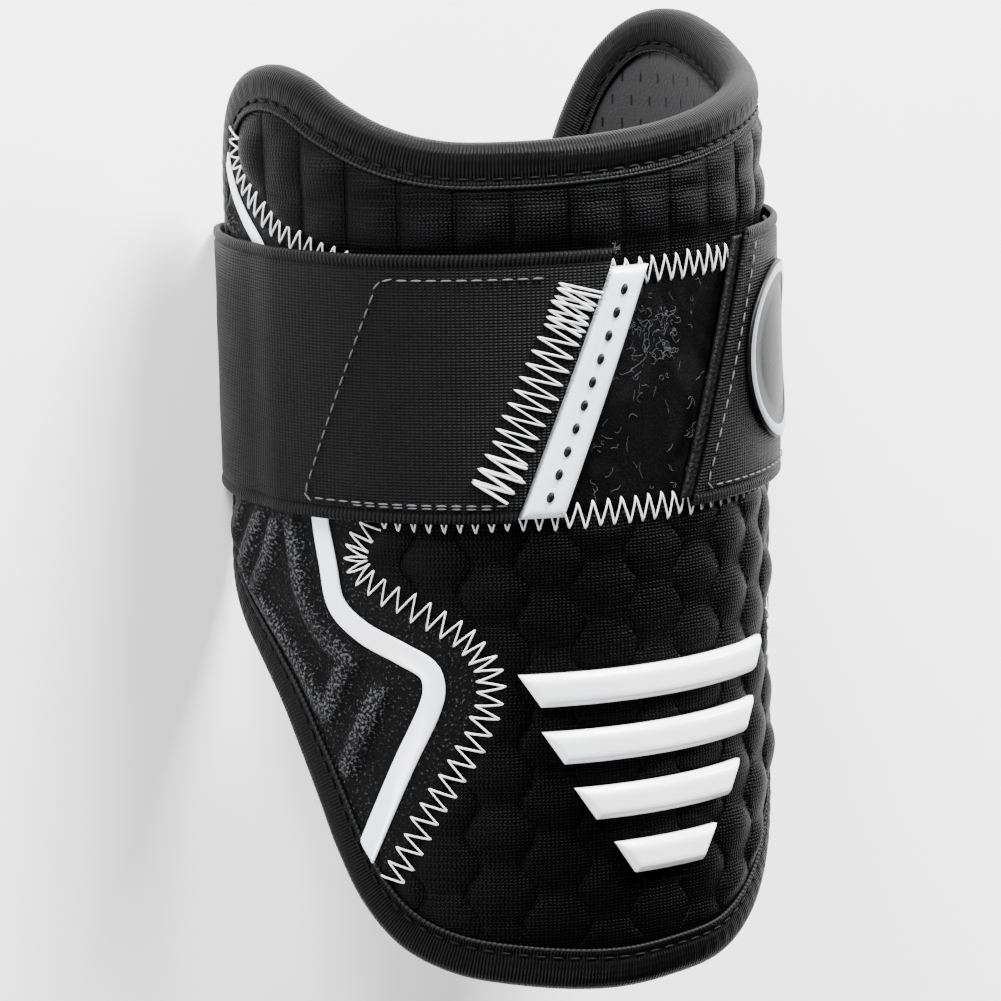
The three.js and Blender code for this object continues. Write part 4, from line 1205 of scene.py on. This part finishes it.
# Grip marks down the label: small dark recesses, evenly spaced
marks = np.linspace(LABEL_LOW + 4, LABEL_HIGH - 4, 10)
label_face = COVER_RADIUS + CLEARANCE + LABEL_THICKNESS
mark_points = wrap(label_left(marks) + LABEL_WIDTH / 2, marks, label_face - 0.05)
dashes("label_grip_marks", "silver_rubber", mark_points, 4.35, 2.2, 0.75, BADGE_RUBBER)

BADGE_ANGLE = math.radians(38)
BADGE_HALF_WIDTH, BADGE_HALF_HEIGHT = 18, 17
BADGE_PROFILE = [  # from the edge to the middle: distance in, and height; then a paler raised rim
    (0, 0), (0, 0.35), (0.15, 0.6), (0.5, 0.75), (1.3, 0.8), (2.1, 0.75), (2.5, 0.6), (2.7, 0.3),
    (6, 0.34), (11, 0.36), (16.9, 0.36),
]
BADGE_RIM = range(3, 6)  # the profile's steps that are the rim's top


def oval_badge():
    base = STRAP_RAISED + STRAP_THICKNESS + 0.2
    around = np.linspace(0, TURN, 97)[:-1]
    rings = []
    for inward, height in BADGE_PROFILE:
        a = (BADGE_HALF_WIDTH - inward) * COVER_RADIUS / base
        b = BADGE_HALF_HEIGHT - inward
        s = BADGE_ANGLE * COVER_RADIUS + a * np.cos(around)
        rings.append(wrap(s, STRAP_MIDDLE + b * np.sin(around), base + height))
    points = np.stack(rings, 0)
    n, m = points.shape[:2]
    piece = mesh_object("oval_badge", points.reshape(-1, 3), capped(n, m))
    turn_outwards(piece)
    dress(piece, BADGE_RUBBER, "strap_badge")
    piece.data.materials.append(SILVER_LINE)
    on_rim = [int(i // m in BADGE_RIM) for i in range((n - 1) * m)]
    piece.data.polygons.foreach_set("material_index", on_rim + [0, 0])


oval_badge()


# Floor, camera and light

def floor(size=6.0):
    corners = [(-size, -size, 0), (size, -size, 0), (size, size, 0), (-size, size, 0)]
    piece = mesh_object("floor", corners, [(0, 1, 2, 3)])
    paint = plain_grain("matt white paint", "fbfbfb", "fefefe", 0.8, 25.0, 0.05)
    piece.data.materials.append(paint)


floor()

PHOTO_SIDE, PHOTO_CENTRE = 1001, (497.0, 500.0)
AZIMUTH, ELEVATION, ROLL = (math.radians(d) for d in (-40, 10, 1.5))
CAMERA_DISTANCE, AIM_HEIGHT = 1100.0, 85.7
PIXEL = 0.193  # millimetres of the guard for each pixel of the photograph
SENSOR = 36


def camera():
    """A camera at the photograph's angle, worked out on the upright guard."""
    level = math.cos(ELEVATION)
    back = Vector((math.sin(AZIMUTH) * level, -math.cos(AZIMUTH) * level, math.sin(ELEVATION)))
    right = (-back).cross(Vector((0, 0, 1))).normalized()
    up = right.cross(-back)
    sine, cosine = math.sin(ROLL), math.cos(ROLL)
    across, upward = right * cosine - up * sine, right * sine + up * cosine
    centre = PHOTO_SIDE / 2
    shift = across * (centre - PHOTO_CENTRE[0]) + upward * (PHOTO_CENTRE[1] - centre)
    place = Vector((0, 0, AIM_HEIGHT)) + back * CAMERA_DISTANCE + shift * PIXEL
    data = bpy.data.cameras.new("photo_camera")
    data.sensor_width = SENSOR
    data.lens = CAMERA_DISTANCE / PIXEL * SENSOR / PHOTO_SIDE
    data.clip_end = 20
    view = linked("photo_camera", data)
    axes = Matrix([(v.x, v.z, -v.y) for v in (across, upward, back)]).transposed().to_4x4()
    axes.translation = [float(c) for c in lay(*place)]
    view.matrix_world = axes
    bpy.context.scene.camera = view


camera()

AIM = Vector((0, 0, 0.04))
for name, place, power, size in (
        ("key_beyond_rim", (0.35, 1.35, 0.75), 150, 0.55),
        ("key_beyond_near_wing", (-0.75, 1.15, 0.6), 60, 0.4),
        ("light_far_side", (1.2, 0.6, 0.55), 40, 0.35),
        ("fill_near_side", (-1.3, -0.5, 0.3), 22, 0.35)):
    data = bpy.data.lights.new(name, "AREA")
    data.energy, data.size = power, size
    light = linked(name, data)
    light.location = place
    light.rotation_euler = (Vector(place) - AIM).to_track_quat("Z", "Y").to_euler()

world = bpy.data.worlds.new("studio")
bpy.context.scene.world = world
world.use_nodes = True
ambient = world.node_tree.nodes["Background"].inputs
ambient["Color"].default_value = linear("f4f4f6")
ambient["Strength"].default_value = 0.15
